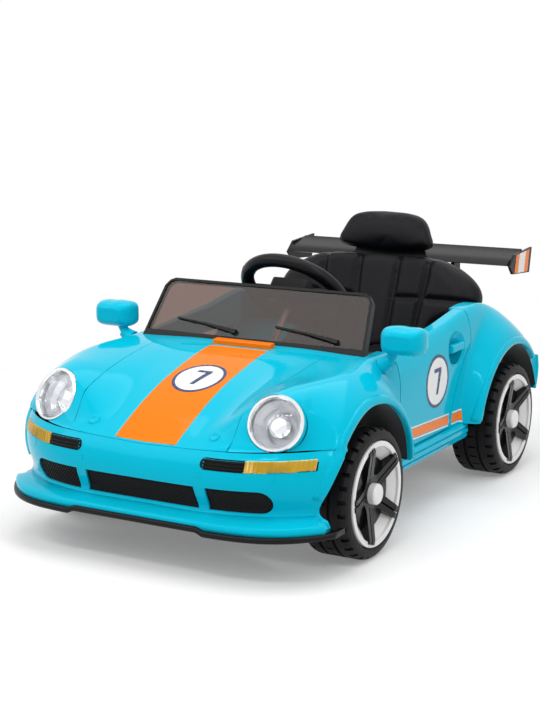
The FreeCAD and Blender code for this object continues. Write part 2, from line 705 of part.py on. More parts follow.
def chassis():
    """Stepped floor tray with flanges, axle hangers, pedal lugs and column bush."""
    t = PLATE_T
    fp = FRONT_PLATE_Z
    rp = REAR_PLATE_Z
    fz = FLOOR_Z
    side = [
        (-472, fp), (-140, fp), (FLOOR_FRONT_Y, fz), (RISER_Y, fz), (RISER_Y + 10, rp), (478, rp),
        (478, rp + t),
        (RISER_Y + 6, rp + t), (RISER_Y - 4, fz + t), (FLOOR_FRONT_Y + 3, fz + t), (-137, fp + t),
        (-472, fp + t),
    ]
    tray = prism([(-PLATE_X, y, z) for y, z in side], V(2 * PLATE_X, 0, 0))
    wide = box(-FLOOR_X, FLOOR_X, FLOOR_FRONT_Y, FLOOR_REAR_Y, fz, fz + t)
    for x in (-1, 1):
        a, b = sorted((x * (FLOOR_X - t), x * FLOOR_X))
        wide = wide.fuse(box(a, b, FLOOR_FRONT_Y, FLOOR_REAR_Y, fz, FLOOR_WALL_Z))
        a, b = sorted((x * 196, x * 214))
        wide = wide.fuse(box(a, b, FLOOR_FRONT_Y + 1, FLOOR_FRONT_Y + 15, fz, DASH_LOW_Z))
        a, b = sorted((x * (PLATE_X - t), x * PLATE_X))
        tray = tray.fuse(box(a, b, -472, -150, fp - 22, fp + t))
        tray = tray.fuse(box(a, b, RISER_Y + 12, 478, rp - 22, rp + t))
        a, b = sorted((x * (PLATE_X - 24), x * (PLATE_X - 16)))
        hanger = box(a, b, REAR_AXLE_Y - 22, REAR_AXLE_Y + 22, WHEEL_R - 16, rp + 1)
        tray = tray.fuse(hanger.cut(across(AXLE_R + RUN_FIT, REAR_AXLE_Y, WHEEL_R, -400, 400)))
    tray = tray.fuse(wide)
    for x in (PEDAL_X - PEDAL_W / 2 - 5.0, PEDAL_X + PEDAL_W / 2 + 1.0):
        lug = box(x, x + 4.0, PEDAL_Y - 8.0, PEDAL_Y + 8.0, fz + 1, PEDAL_Z + 8.0)
        tray = tray.fuse(lug.cut(across(3.0 + RUN_FIT, PEDAL_Y, PEDAL_Z, x - 5, x + 10)))
    way = column()
    seat = STEER_CENTRE - way * BUSH_AT
    tray = tray.fuse(rod(seat - way * 14, seat + way * 14, SHAFT_R + 6.0))
    tray = tray.cut(rod(seat - way * 60, seat + way * 60, SHAFT_R + RUN_FIT))
    for x in (-120, -40, 40, 120):
        tray = tray.fuse(box(x - 1.5, x + 1.5, FLOOR_FRONT_Y + 30, RISER_Y - 30, fz - 6, fz))
    return tray


def column():
    """Direction of the steering column, from the crank up to the driver."""
    a = math.radians(COLUMN_ANGLE)
    return V(0, math.cos(a), math.sin(a))


def column_down():
    """Direction in which the crank hangs, square to the column."""
    a = math.radians(COLUMN_ANGLE)
    return V(0, math.sin(a), -math.cos(a))


def steering_shaft():
    """Column rod with its crank and crank pin."""
    way = column()
    foot = crank_foot() + way * CRANK_LIFT
    knee = foot + column_down() * CRANK
    shaft = rod(foot - way * 7, STEER_CENTRE - way * 10, SHAFT_R)
    web = rod(foot, knee, 4.0)
    ball = Part.makeSphere(5.0, knee)
    pin = rod(knee, knee - way * (CRANK_LIFT + 14.0), CRANK_PIN_R)
    return shaft.fuse(web).fuse(ball).fuse(pin).removeSplitter()


def crank_foot():
    """Point of the column axis square above the crank pin where it crosses the track rod."""
    y = FRONT_AXLE_Y + ARM - CRANK * column_down().y
    run = (STEER_CENTRE.y - y) / column().y
    return STEER_CENTRE - column() * run


def steering_wheel():
    """Thick rim on three spokes round a square pad, with the pad's pocket."""
    rim = Part.makeTorus(STEER_R, STEER_TUBE)
    for a in (0, 90, 180):
        spoke = box(18, STEER_R - 4, -11 if a == 90 else -15, 11 if a == 90 else 15, -8, 2)
        spoke.rotate(V(0, 0, 0), V(0, 0, 1), a)
        rim = rim.fuse(spoke)
    hub = box(-38, 38, -34, 38, -16, 6)
    hub = hub.makeFillet(9.0, [e for e in hub.Edges if abs(e.Vertexes[0].Z - e.Vertexes[1].Z) > 1])
    rim = rim.fuse(hub).fuse(Part.makeCylinder(16, 30, V(0, 0, -40)))
    rim = rim.cut(Part.makeCylinder(SHAFT_R + 0.05, 50, V(0, 0, -60)))
    pocket = box(-28.4, 28.4, -22.4, 26.4, -2, 10)
    return rim.cut(pocket)


def horn_pad():
    """Square push pad in the middle of the steering wheel."""
    pad = box(-28, 28, -22, 26, 0.5, 12)
    return pad.makeFillet(3.0, [e for e in pad.Edges if e.Vertexes[0].Z > 5 or e.Vertexes[1].Z > 5])


def at_wheel(shape):
    """Put a piece made flat on the steering wheel's plane."""
    turn = FreeCAD.Rotation(V(1, 0, 0), V(0, -column().z, column().y), column(), "ZXY")
    moved = shape.copy()
    moved.Placement = FreeCAD.Placement(STEER_CENTRE, turn)
    return moved


def axle_beam():
    """Front axle beam with a yoke for each kingpin."""
    y = FRONT_AXLE_Y
    low = WHEEL_R - 26.0
    high = WHEEL_R + 34.0
    beam = box(-KINGPIN_X + 18, KINGPIN_X - 18, y - 13, y + 13, WHEEL_R - 8, high)
    beam = beam.cut(box(-KINGPIN_X + 24, KINGPIN_X - 24, y - 10, y + 10, WHEEL_R - 20, high - 4))
    for x in (-1, 1):
        for z in (low, high - 5):
            a, b = sorted((x * (KINGPIN_X - 24), x * (KINGPIN_X + 9)))
            beam = beam.fuse(box(a, b, y - 10, y + 10, z, z + 5))
        a, b = sorted((x * (KINGPIN_X - 24), x * (KINGPIN_X - 18)))
        beam = beam.fuse(box(a, b, y - 10, y + 10, low, high))
        a, b = sorted((x * 60, x * 80))
        beam = beam.fuse(box(a, b, y - 8, y + 8, high - 1, FRONT_PLATE_Z))
    for x in (-1, 1):
        beam = beam.cut(Part.makeCylinder(KINGPIN_R + RUN_FIT, 90, V(x * KINGPIN_X, y, low - 10)))
    return beam


def knuckle():
    """Left stub axle: kingpin, block, steering arm with its pin, and axle end nut."""
    y = FRONT_AXLE_Y
    low = WHEEL_R - 26.0
    high = WHEEL_R + 34.0
    pin = Part.makeCylinder(KINGPIN_R, high - low + 6, V(KINGPIN_X, y, low - 3))
    block = box(KINGPIN_X - 11, KINGPIN_X + 11, y - 11, y + 11, low + 5.3, high - 5.3)
    stub = across(AXLE_R, y, WHEEL_R, KINGPIN_X, TRACK_HALF - 14)
    nut = turned([(0, 0), (8, 0), (8, 6), (0, 6)])
    nut = placed(nut, V(TRACK_HALF - 20, y, WHEEL_R), V(1, 0, 0))
    top = TIE_Z + TIE_T
    arm = box(KINGPIN_X - 7, KINGPIN_X + 7, y, y + ARM + 7, top + 2, top + 8)
    ball = Part.makeCylinder(4.0, TIE_T + 8, V(KINGPIN_X, y + ARM, TIE_Z - 4))
    return pin.fuse(block).fuse(stub).fuse(nut).fuse(arm).fuse(ball).removeSplitter()


def tie_rod():
    """Flat track rod with an eye at each end and a slot for the crank pin."""
    y = FRONT_AXLE_Y + ARM
    plate = box(-KINGPIN_X, KINGPIN_X, y - 6, y + 6, TIE_Z, TIE_Z + TIE_T)
    plate = plate.fuse(box(-24, 24, y - 19, y + 17, TIE_Z, TIE_Z + TIE_T))
    for x in (-KINGPIN_X, KINGPIN_X):
        plate = plate.fuse(Part.makeCylinder(9.0, TIE_T, V(x, y, TIE_Z)))
    for x in (-KINGPIN_X, KINGPIN_X):
        plate = plate.cut(Part.makeCylinder(4.0 + RUN_FIT, TIE_T * 3, V(x, y, TIE_Z - TIE_T)))
    half = CRANK_PIN_R + CRANK_SLACK
    return plate.cut(box(-half, half, y - 15, y + 11, TIE_Z - 5, TIE_Z + TIE_T + 5)).removeSplitter()


def tyre():
    """Left tyre with two ring grooves and notched shoulders, outer face at x = 0."""
    w = WHEEL_W
    r = WHEEL_R
    bead = RIM_R + TYRE_FIT
    ring = turned(
        [(bead, -4), (bead + 3, -0.5), (r - 15, 0), (r - 9, -1), (r - 4, -3.5), (r - 1, -8), (r, -13),
        (r, -w / 2 + 16), (r - 4, -w / 2 + 15),
         (r - 4, -w / 2 + 11), (r, -w / 2 + 10), (r, -w / 2 - 10), (r - 4, -w / 2 - 11),
         (r - 4, -w / 2 - 15), (r, -w / 2 - 16),
         (r, 13 - w), (r - 1, 8 - w), (r - 4, 3.5 - w), (r - 9, 1 - w), (r - 15, -w), (bead + 3, 0.5 - w),
         (bead, 4 - w)]
    )
    cuts = []
    for i in range(TREAD_BLOCKS):
        a = 360.0 * i / TREAD_BLOCKS
        out = box(r - 5, r + 5, -3.5, 3.5, -16, 5)
        back = box(r - 5, r + 5, -3.5, 3.5, -w - 5, 16 - w)
        mid = box(r - 3.5, r + 5, -2, 2, -w / 2 - 7, -w / 2 + 7)
        for piece, turn in ((out, a), (back, a + 180.0 / TREAD_BLOCKS), (mid, a + 90.0 / TREAD_BLOCKS)):
            piece.rotate(V(0, 0, 0), V(0, 0, 1), turn)
            cuts.append(piece)
    return ring.cut(Part.makeCompound(cuts))


def rim():
    """White dished rim with its hub tube, outer face at x = 0."""
    r = RIM_R
    w = WHEEL_W
    return turned(
        [(AXLE_R + RUN_FIT, -22), (14, -22), (14, -26), (46, -26), (r - 9, -4), (r - 9, 0.5),
        (r - 7.5, 1.5), (r - 1, 1.5), (r, 0.5),
         (r, 4 - w), (r - 4, 4 - w), (r - 4, -6), (r - 7, -7.5), (47, -30), (14, -30), (14, 24 - w),
         (AXLE_R + RUN_FIT, 24 - w)]
    )


def spoke_star():
    """Black five-spoke star that lies in the dish of the rim."""
    r = RIM_R
    body = turned([(9.5, -21.6), (14.4, -21.6), (14.4, -25.9), (46, -25.9), (r - 9.1, -3.9), (r - 9.1, 1.6),
        (r - 5, 1.6), (r - 5, 4), (r - 12, 4), (26, -9), (9.5, -9)])
    plan = Part.makeCylinder(30, 60, V(0, 0, -40))
    for i in range(SPOKES):
        blade = prism(
            [(10, -17, -40), (34, -12, -40), (r - 5, -10, -40), (r - 3, -6, -40), (r - 3, 6, -40),
            (r - 5, 10, -40), (34, 12, -40), (10, 17, -40)],
            V(0, 0, 60),
        )
        blade.rotate(V(0, 0, 0), V(0, 0, 1), SPOKE_TURN + 360.0 * i / SPOKES)
        plan = plan.fuse(blade)
    star = body.common(plan).fuse(turned([(14.4, -25.9), (STAR_DISC_R, -25.9), (STAR_DISC_R, -23.0),
        (14.4, -23.0)]))
    for i in range(SPOKES):
        groove = prism([(24, 0, -20), (24, -3.5, 6), (24, 3.5, 6)], V(r, 0, 0))
        groove.rotate(V(24, 0, -14), V(0, 1, 0), -14.0)
        groove.rotate(V(0, 0, 0), V(0, 0, 1), SPOKE_TURN + 360.0 * i / SPOKES)
        star = star.cut(groove)
    return star


def hub_cap():
    """White push-on cap over the axle nut."""
    r = CAP_R
    return turned([(0, -6), (r - 4, -6), (r - 4, -8.9), (r, -8.9), (r, 1), (r - 2, 3.5), (r - 6, 4.5),
        (0, 4.5)])


def on_wheel(shape, axle, left):
    """Put a piece of a wheel, made along Z, on one corner of the car."""
    moved = placed(shape, V(TRACK_HALF, axle, WHEEL_R), V(1, 0, 0))
    return moved if left else mirror(moved)


def gearbox():
    """Left reduction gear housing round the rear axle."""
    y = REAR_AXLE_Y
    x0 = PLATE_X + SEAT_FIT
    case = box(x0, x0 + 40, y - 62, y + 34, WHEEL_R - 36, REAR_PLATE_Z - 6)
    case = case.makeFillet(12.0, [e for e in case.Edges if abs(e.Vertexes[0].X - e.Vertexes[1].X) > 1])
    case = case.fuse(across(24, y, WHEEL_R, x0 + 30, x0 + 50))
    return case.cut(across(AXLE_R + 0.6, y, WHEEL_R, 100, 400))


def drive_motor():
    """Left can motor on the inner side of its gearbox."""
    y = REAR_AXLE_Y - 42
    z = WHEEL_R + 22
    can = across(18, y, z, PLATE_X - 62, PLATE_X + SEAT_FIT)
    return can.fuse(across(6, y, z, PLATE_X - 70, PLATE_X - 60))


def rounded(a, b, taper):
    """A rounded rectangle of half sizes a and b that narrows upwards."""
    points = []
    for i in range(PAD_POINTS):
        t = 2.0 * math.pi * i / PAD_POINTS
        c = math.cos(t)
        s = math.sin(t)
        x = math.copysign(abs(c) ** 0.45, c)
        y = math.copysign(abs(s) ** 0.45, s)
        points.append((a * x * (1.0 - taper * y), b * y))
    return points


def pillow(outline, plane, sizes):
    """A padded form through scaled copies of one closed outline at rising heights."""
    wires = []
    for height, scale in sizes:
        curve = Part.BSplineCurve()
        curve.interpolate([plane(x * scale[0], h * scale[1], height) for x, h in outline],
            PeriodicFlag=True)
        wires.append(Part.Wire([curve.toShape()]))
    return Part.makeLoft(wires, True)


def seat_plane(x, h, t):
    """A point of the backrest: h up along the back from its middle, t forward of the shell."""
    a = math.radians(RECLINE)
    up = V(0, math.sin(a), math.cos(a))
    ahead = V(0, -math.cos(a), math.sin(a))
    return V(x, BACK_Y, BACK_Z) + up * h + ahead * t


def cushion():
    """Padded seat bottom with a crown and three sewn channels."""
    half_y = (CUSHION_REAR_Y - CUSHION_FRONT_Y) / 2.0
    mid = (CUSHION_REAR_Y + CUSHION_FRONT_Y) / 2.0
    base = SEAT_PAN_Z + SEAT_PAN_T + SEAT_FIT
    outline = rounded(SEAT_X, half_y, 0.0)
    h = CUSHION_H
    form = pillow(
        outline, lambda x, y, t: V(x, mid + y, base + t),
        [(0, (0.93, 0.9)), (h * 0.3, (0.99, 0.985)), (h * 0.65, (0.99, 0.98)), (h * 0.88, (0.93, 0.9)),
        (h, (0.72, 0.62))],
    )
    for x in (-SEAM_OUT_X, -SEAM_IN_X, SEAM_IN_X, SEAM_OUT_X):
        form = form.cut(prism([(x, 0, base + h - 5), (x - 3, 0, base + h + 6), (x + 3, 0, base + h + 6)],
            V(0, 400, 0)))
    return form


def backrest():
    """Padded seat back with side bolsters and sewn channels."""
    w = BACK_X
    h = BACK_H / 2.0
    half = [(0.0, -1.0), (0.3, -1.0), (0.55, -1.0), (0.69, -0.93), (0.72, -0.7), (0.75, -0.45),
        (0.92, -0.26), (1.0, -0.02), (0.98, 0.3),
            (0.86, 0.62), (0.68, 0.86), (0.5, 0.98), (0.25, 1.0)]
    mirrored = [(-w * a, h * b) for a, b in reversed(half[1:])]
    outline = [(w * a, h * b) for a, b in half] + [(0.0, h)] + mirrored
    t = BACK_T
    form = pillow(
        outline, seat_plane,
        [(0, (0.95, 0.95)), (t * 0.3, (1.0, 1.0)), (t * 0.65, (0.99, 0.98)), (t * 0.9, (0.94, 0.93)),
        (t, (0.86, 0.86))],
    )
    scoop_end = seat_plane(0, -300, t + 212)
    scoop = Part.makeCylinder(230, 600, scoop_end, seat_plane(0, 300, t + 212) - scoop_end)
    form = form.cut(scoop)
    for x in (-SEAM_OUT_X, -SEAM_IN_X, SEAM_IN_X, SEAM_OUT_X):
        deep = t - 23.0 if abs(x) < 50 else t - 18.0
        pts = [seat_plane(x, -150, deep), seat_plane(x - 3, -150, deep + 12),
            seat_plane(x + 3, -150, deep + 12)]
        groove = prism([(p.x, p.y, p.z) for p in pts], (seat_plane(0, 300, 0) - seat_plane(0, 0, 0)))
        form = form.cut(groove)
    return form


def headrest():
    """Rounded head pad on top of the backrest."""
    w = HEAD_X
    h = HEAD_H / 2.0
    outline = rounded(w * 0.87, h, 0.19)
    t = HEAD_T
    lift = BACK_H / 2.0 + h - 0.4
    return pillow(
        outline, lambda x, y, d: seat_plane(x, y + lift, d + 4.0),
        [(0, (0.86, 0.8)), (t * 0.25, (0.99, 0.97)), (t * 0.6, (0.99, 0.97)), (t * 0.88, (0.92, 0.88)),
        (t, (0.74, 0.66))],
    )


def seat_shell():
    """Plastic seat pan with the back plate that carries the padding."""
    pan = box(-SEAT_X - 10, SEAT_X + 10, CUSHION_FRONT_Y - 6, CUSHION_REAR_Y + 64, SEAT_PAN_Z,
        SEAT_PAN_Z + SEAT_PAN_T)
    pan = pan.makeFillet(20.0, [e for e in pan.Edges if abs(e.Vertexes[0].Z - e.Vertexes[1].Z) > 1])
    w = BACK_X - 18.0
    h = BACK_H / 2.0
    n = SEAT_X
    pts = [(-n, -h - 14), (n, -h - 14), (n, -h * 0.4), (w, -h * 0.2), (w, 0), (w * 0.8, h * 0.6),
        (HEAD_X * 0.8, h), (HEAD_X * 0.6, h + HEAD_H * 0.7),
           (-HEAD_X * 0.6, h + HEAD_H * 0.7), (-HEAD_X * 0.8, h), (-w * 0.8, h * 0.6), (-w, 0),
           (-w, -h * 0.2), (-n, -h * 0.4)]
    wire = Part.makePolygon([seat_plane(x, y, -SEAT_FIT) for x, y in pts + pts[:1]])
    plate = Part.Face(wire).extrude(seat_plane(0, 0, -6.3) - seat_plane(0, 0, -0.3))
    plate = plate.cut(box(-400, 400, 0, 600, 0, SEAT_PAN_Z + 1))
    corners = ((-300, -300), (300, -300), (300, 300), (-300, 300), (-300, -300))
    back_face = Part.Face(Part.makePolygon([seat_plane(a, b, -SEAT_FIT) for a, b in corners]))
    padding_side = back_face.extrude(seat_plane(0, 0, 100) - seat_plane(0, 0, 0))
    for x in (-120, 120):
        foot = seat_plane(x, -h - 10, -3)
        strut = box(x - 12, x + 12, CUSHION_REAR_Y + 46, CUSHION_REAR_Y + 62, SEAT_PAN_Z, foot.z + 12)
        pan = pan.fuse(strut.cut(padding_side))
    return pan.fuse(plate)


def screen_point(x, u, n):
    """A point on the windscreen plane: u up along it, n out of its front face."""
    a = math.radians(SCREEN_LEAN)
    up = V(0, math.sin(a), math.cos(a))
    out = V(0, -math.cos(a), math.sin(a))
    return SCREEN_FOOT + V(x, 0, 0) + up * u + out * n


def screen_outline(inset, low):
    """The windscreen's side-to-side outline, smaller by an inset."""
    i = inset
    lean = (SCREEN_LOW_X - SCREEN_HIGH_X) / SCREEN_H
    wide = SCREEN_LOW_X - i - lean * low
    narrow = SCREEN_HIGH_X - i + lean * i
    c = max(16.0 - i, 3.0)
    return [(-wide, low), (wide, low), (narrow + lean * c, SCREEN_H - i - c),
        (narrow - c * 0.35, SCREEN_H - i - c * 0.3),
            (narrow - c, SCREEN_H - i), (-narrow + c, SCREEN_H - i),
            (-narrow + c * 0.35, SCREEN_H - i - c * 0.3), (-narrow - lean * c, SCREEN_H - i - c)]


def screen_slab(outline, front, thick):
    """A flat piece on the windscreen plane."""
    wire = Part.makePolygon([screen_point(x, u, front) for x, u in outline + outline[:1]])
    return Part.Face(wire).extrude(screen_point(0, 0, front - thick) - screen_point(0, 0, front))


def screen_frame():
    """Black windscreen surround that stands on the cowl."""
    ring = screen_slab(screen_outline(0.0, -12.0), 0.0, SCREEN_T)
    ring = ring.cut(screen_slab(screen_outline(SCREEN_BAR, SCREEN_BAR + 2.0), 5.0, SCREEN_T + 10.0))
    return max(ring.cut(body_block(-205.0, -100.0, -0.97, 0.97, 31)).Solids, key=lambda s: s.Volume)


def screen_pane():
    """Tinted pane inside the surround."""
    return screen_slab(screen_outline(SCREEN_BAR + SEAT_FIT, SCREEN_BAR + 2.0 + SEAT_FIT), -2.0, PANE_T)


def wiper(x0, x1, u0, u1):
    """One wiper on the pane: arm, blade and pivot."""
    def bar(a, b, wide, front, thick):
        d = V(b[0] - a[0], b[1] - a[1], 0)
        side = V(-d.y, d.x, 0)
        side.normalize()
        side = side * wide
        pts = [(a[0] + side.x, a[1] + side.y), (b[0] + side.x, b[1] + side.y),
            (b[0] - side.x, b[1] - side.y), (a[0] - side.x, a[1] - side.y)]
        return screen_slab(pts, front, thick)

    mid = ((x0 + x1) / 2.0, (u0 + u1) / 2.0)
    blade = bar((x0, u0), (x1, u1), 1.5, 2.5, 4.2)
    arm = bar((x1 + 4, 15.0), mid, 1.5, 4.5, 3.0)
    foot = bar((x1 + 4, 13.0), (x1 + 4, 20.0), 4.5, 4.5, 6.2)
    return blade.fuse(arm).fuse(foot)


def mirror_house():
    """Left door mirror: rounded head with a glass pocket, on a short foot."""
    base = skin(MIRROR_Y, 1.2, SEAT_FIT)
    mid_z = MIRROR_LOW_Z + MIRROR_H / 2.0
    wide = MIRROR_OUT_X - MIRROR_IN_X
    head = pillow(
        rounded(MIRROR_H / 2.0, wide / 2.0, 0.0),
        lambda z, x, t: V((MIRROR_IN_X + MIRROR_OUT_X) / 2.0 + x, MIRROR_Y + MIRROR_D / 2.0 - t, mid_z + z),
        [(0, (0.92, 0.95)), (MIRROR_D * 0.3, (1.0, 1.0)), (MIRROR_D * 0.65, (0.93, 0.95)),
        (MIRROR_D * 0.9, (0.72, 0.78)),
         (MIRROR_D, (0.45, 0.55))],
    )
    n = skin(MIRROR_Y, 1.2, 1.0) - skin(MIRROR_Y, 1.2)
    foot = Part.makeCone(15, 10, 20, base, n)
    neck = rod(base + n * 14, V(MIRROR_IN_X + 30, MIRROR_Y, MIRROR_LOW_Z + 16), 8.0)
    body = head.fuse(foot).fuse(neck)
    pocket = mirror_plate(0.0, 30.0)
    return max(body.cut(pocket).cut(body_block(-200.0, -115.0, 0.8, 1.7, 19)).Solids,
        key=lambda s: s.Volume)


def mirror_plate(inset, deep):
    """A rounded plate in the back of the left mirror's head."""
    rim = 6.0 + inset
    y = MIRROR_Y + MIRROR_D / 2.0 - 3.0 + inset
    plate = box(MIRROR_IN_X + rim, MIRROR_OUT_X - rim, y, y + deep, MIRROR_LOW_Z + rim,
        MIRROR_LOW_Z + MIRROR_H - rim)
    return plate.makeFillet(13.0, [e for e in plate.Edges if abs(e.Vertexes[0].Y - e.Vertexes[1].Y) > 1])


def mirror_glass():
    """Plate in the left mirror's pocket."""
    return mirror_plate(SEAT_FIT, 2.2)


def dashboard():
    """Dash moulding with the column hole and switch openings."""
    y0 = COWL_REAR_Y + 1.0
    high = DASH_HIGH_Z
    low = DASH_LOW_Z
    section = [(y0, low), (y0 + 50, low), (y0 + 72, low + 30), (y0 + 72, high - 22), (y0 + 56, high - 3),
        (y0 + 40, high), (y0, high)]
    dash = prism([(-DASH_X, y, z) for y, z in section], V(2 * DASH_X, 0, 0))
    inner = [(y0 - 1, low + 4), (y0 + 46, low + 4), (y0 + 66, low + 32), (y0 + 66, high - 24),
        (y0 + 52, high - 7), (y0 - 1, high - 4)]
    dash = dash.cut(prism([(-DASH_X + 4, y, z) for y, z in inner], V(2 * DASH_X - 8, 0, 0)))
    for x in (-1, 1):
        a, b = sorted((x * 26, x * 30))
        dash = dash.fuse(prism([(a, y, z) for y, z in section], V(b - a, 0, 0)))
    way = column()
    dash = dash.cut(rod(STEER_CENTRE - way * 260, STEER_CENTRE, SHAFT_R + 0.5))
    rear = y0 + 72
    dash = dash.cut(box(-SWITCH_X - 9.4, -SWITCH_X + 9.4, rear - 20, rear + 5, SWITCH_Z - 13.4,
        SWITCH_Z + 13.4))
    return dash.cut(Part.makeCylinder(10.4, 40, V(SWITCH_X, rear - 20, SWITCH_Z), V(0, 1, 0)))


def direction_rocker():
    """Forward and reverse rocker, turned on its own pin line."""
    y = COWL_REAR_Y + 73.0
    body = across(12.5, y - 9.0, SWITCH_Z, -SWITCH_X - 9, -SWITCH_X + 9)
    body = body.cut(box(-400, 400, y + 1.0, y + 40, 0, 500))
    ridge = box(-SWITCH_X - 9, -SWITCH_X + 9, y - 4, y + 4.0, SWITCH_Z - 2, SWITCH_Z + 2)
    return body.fuse(ridge)


def power_button():
    """Round push button on the dash."""
    y = COWL_REAR_Y + 73.0
    cap = Part.makeCylinder(10.0, 16, V(SWITCH_X, y - 8.0, SWITCH_Z), V(0, 1, 0))
    return cap.makeFillet(2.0, [e for e in cap.Edges if e.BoundBox.YMin > y + 7.5])


def pedal():
    """Accelerator plate on a cross pin, with ribs on its face."""
    w = PEDAL_W / 2.0
    plate = box(PEDAL_X - w, PEDAL_X + w, PEDAL_Y - 3, PEDAL_Y + 3, PEDAL_Z, PEDAL_Z + 86)
    for i in range(5):
        z = PEDAL_Z + 30 + 11 * i
        plate = plate.fuse(box(PEDAL_X - w + 6, PEDAL_X + w - 6, PEDAL_Y + 2, PEDAL_Y + 5, z, z + 4))
    boss = across(6.0, PEDAL_Y, PEDAL_Z, PEDAL_X - w, PEDAL_X + w)
    return plate.fuse(boss).fuse(across(3.0, PEDAL_Y, PEDAL_Z, PEDAL_X - w - 6,
        PEDAL_X + w + 6)).removeSplitter()


def wing_blade():
    """Tilted wing blade between the end plates, with its two stays."""
    a = math.radians(WING_TILT)

    def at(x, c, t):
        return V(x, WING_FRONT_Y + c * math.cos(a) - t * math.sin(a),
            WING_Z + c * math.sin(a) + t * math.cos(a))

    c = WING_CHORD
    top = Part.BSplineCurve()
    top.interpolate([at(-WING_X, s * c, t) for s, t in ((0, 3.5), (0.12, 7.5), (0.4, 9), (0.75, 8),
        (1.0, 9.5))])
    low = Part.BSplineCurve()
    low.interpolate([at(-WING_X, s * c, t) for s, t in ((1.0, 6.5), (0.75, 2.5), (0.4, -2), (0.12, -1.5),
        (0, 3.0))])
    wire = Part.Wire([top.toShape(), Part.makeLine(top.EndPoint, low.StartPoint), low.toShape(),
        Part.makeLine(low.EndPoint, top.StartPoint)])
    return Part.Face(wire).extrude(V(2 * WING_X, 0, 0))


def wing_stay(x):
    """One stay from the rear deck up to the blade."""
    foot = DECK_FRONT_Y + 28.0
    leg = prism(
        [(x - 4, foot, 275), (x - 4, foot + 34, 250), (x - 4, foot + 26, WING_Z + 40),
        (x - 4, foot, WING_Z + 40)], V(8, 0, 0)
    )
    leg = leg.cut(body_block(DECK_FRONT_Y - 20.0, TAIL_Y - 1.0, -0.8, 0.8, 17)).cut(wing_blade())
    return max(leg.Solids, key=lambda s: s.Volume)


def end_plate():
    """Left polygonal end plate of the wing."""
    x = WING_X + SEAT_FIT
    pts = [(402, 381), (426, 402), (515, 408), (504, 359), (418, 365)]
    return prism([(x, y, z) for y, z in pts], V(PLATE_THICK, 0, 0))


def pieces():
    """Every node by name, as a list of separate solids."""
    parts = {}
    left_fender = fender()
    parts["front_fender_left"] = [left_fender]
    parts["front_fender_right"] = [mirror(left_fender)]
    parts["bonnet"] = [bonnet()]
    parts["bonnet_stripe"] = [stripe(STRIPE_X, -STRIPE_T + 0.05, 0.3)]
    parts["cowl_panel"] = [cowl()]
    left_quarter = quarter()
    parts["rear_quarter_left"] = [left_quarter]
    parts["rear_quarter_right"] = [mirror(left_quarter)]
    parts["rear_deck"] = [deck()]
    parts["front_bumper"] = [front_bumper()]
    parts["bumper_grilles"] = list(grilles())
    lens = signal_lens()
    parts["signal_lenses"] = [lens, mirror(lens)]
    parts["front_lip"] = [front_lip()]
    bezel, bowl, barrel, dome = headlight()
    parts["headlight_bezels"] = [bezel, mirror(bezel)]
    parts["headlight_bowls"] = [bowl, mirror(bowl), barrel, mirror(barrel)]
    parts["headlight_lenses"] = [dome, mirror(dome)]
    parts["rear_bumper"] = [rear_bumper()]
    lamp = tail_lamp()
    parts["tail_lamps"] = [lamp, mirror(lamp)]
    left_sill = sill()
    parts["side_sills"] = [left_sill, mirror(left_sill)]
    parts["chassis_tray"] = [chassis()]
    left_door = door()
    bar = handle()
    parts["door_left"] = [left_door, bar]
    parts["door_right"] = [mirror(left_door), mirror(bar)]
    parts["steering_shaft"] = [steering_shaft()]
    parts["steering_wheel"] = [at_wheel(steering_wheel())]
    parts["horn_pad"] = [at_wheel(horn_pad())]
    parts["front_axle_beam"] = [axle_beam()]
    left_knuckle = knuckle()
    parts["knuckle_left"] = [left_knuckle]
    parts["knuckle_right"] = [mirror(left_knuckle)]
    parts["tie_rod"] = [tie_rod()]
    rubber = tyre()
    white = rim()
    star = spoke_star()
    cap = hub_cap()
    for name, axle, left in (
        ("front_left", FRONT_AXLE_Y, True), ("front_right", FRONT_AXLE_Y, False),
        ("rear_left", REAR_AXLE_Y, True), ("rear_right", REAR_AXLE_Y, False),
    ):
        parts["tyre_" + name] = [on_wheel(rubber, axle, left)]
        parts["rim_" + name] = [on_wheel(white, axle, left), on_wheel(cap, axle, left)]
        parts["spokes_" + name] = [on_wheel(star, axle, left)]
    parts["rear_axle"] = [across(AXLE_R, REAR_AXLE_Y, WHEEL_R, 14 - TRACK_HALF, TRACK_HALF - 14)]
    case = gearbox()
    parts["rear_gearboxes"] = [case, mirror(case)]
    motor = drive_motor()
    parts["drive_motors"] = [motor, mirror(motor)]
    parts["battery"] = [box(-75, 75, RISER_Y - 76, RISER_Y - 14, FLOOR_Z + PLATE_T, SEAT_PAN_Z - 4)]
    parts["control_box"] = [box(88, 168, RISER_Y - 74, RISER_Y - 20, FLOOR_Z + PLATE_T,
        FLOOR_Z + PLATE_T + 30)]
    parts["seat_shell"] = [seat_shell()]
    parts["seat_cushion"] = [cushion()]
    parts["seat_backrest"] = [backrest()]
    parts["headrest"] = [headrest()]
    parts["windscreen_frame"] = [screen_frame()]
    parts["windscreen_pane"] = [screen_pane()]
    parts["wipers"] = [wiper(41.0, 158.0, 33.0, 20.0), wiper(-158.0, -41.0, 33.0, 20.0)]
    house = mirror_house()
    parts["mirror_housings"] = [house, mirror(house)]
    glass = mirror_glass()
    parts["mirror_glasses"] = [glass, mirror(glass)]
    parts["dashboard"] = [dashboard()]
    parts["direction_rocker"] = [direction_rocker()]
    parts["power_button"] = [power_button()]
    parts["accelerator_pedal"] = [pedal()]
    stay = wing_stay(120.0)
    parts["rear_wing"] = [wing_blade(), stay, mirror(stay)]
    plate = end_plate()
    parts["wing_end_plates"] = [plate, mirror(plate)]
    return parts


for node, solids in pieces().items():
    save(node, *solids)
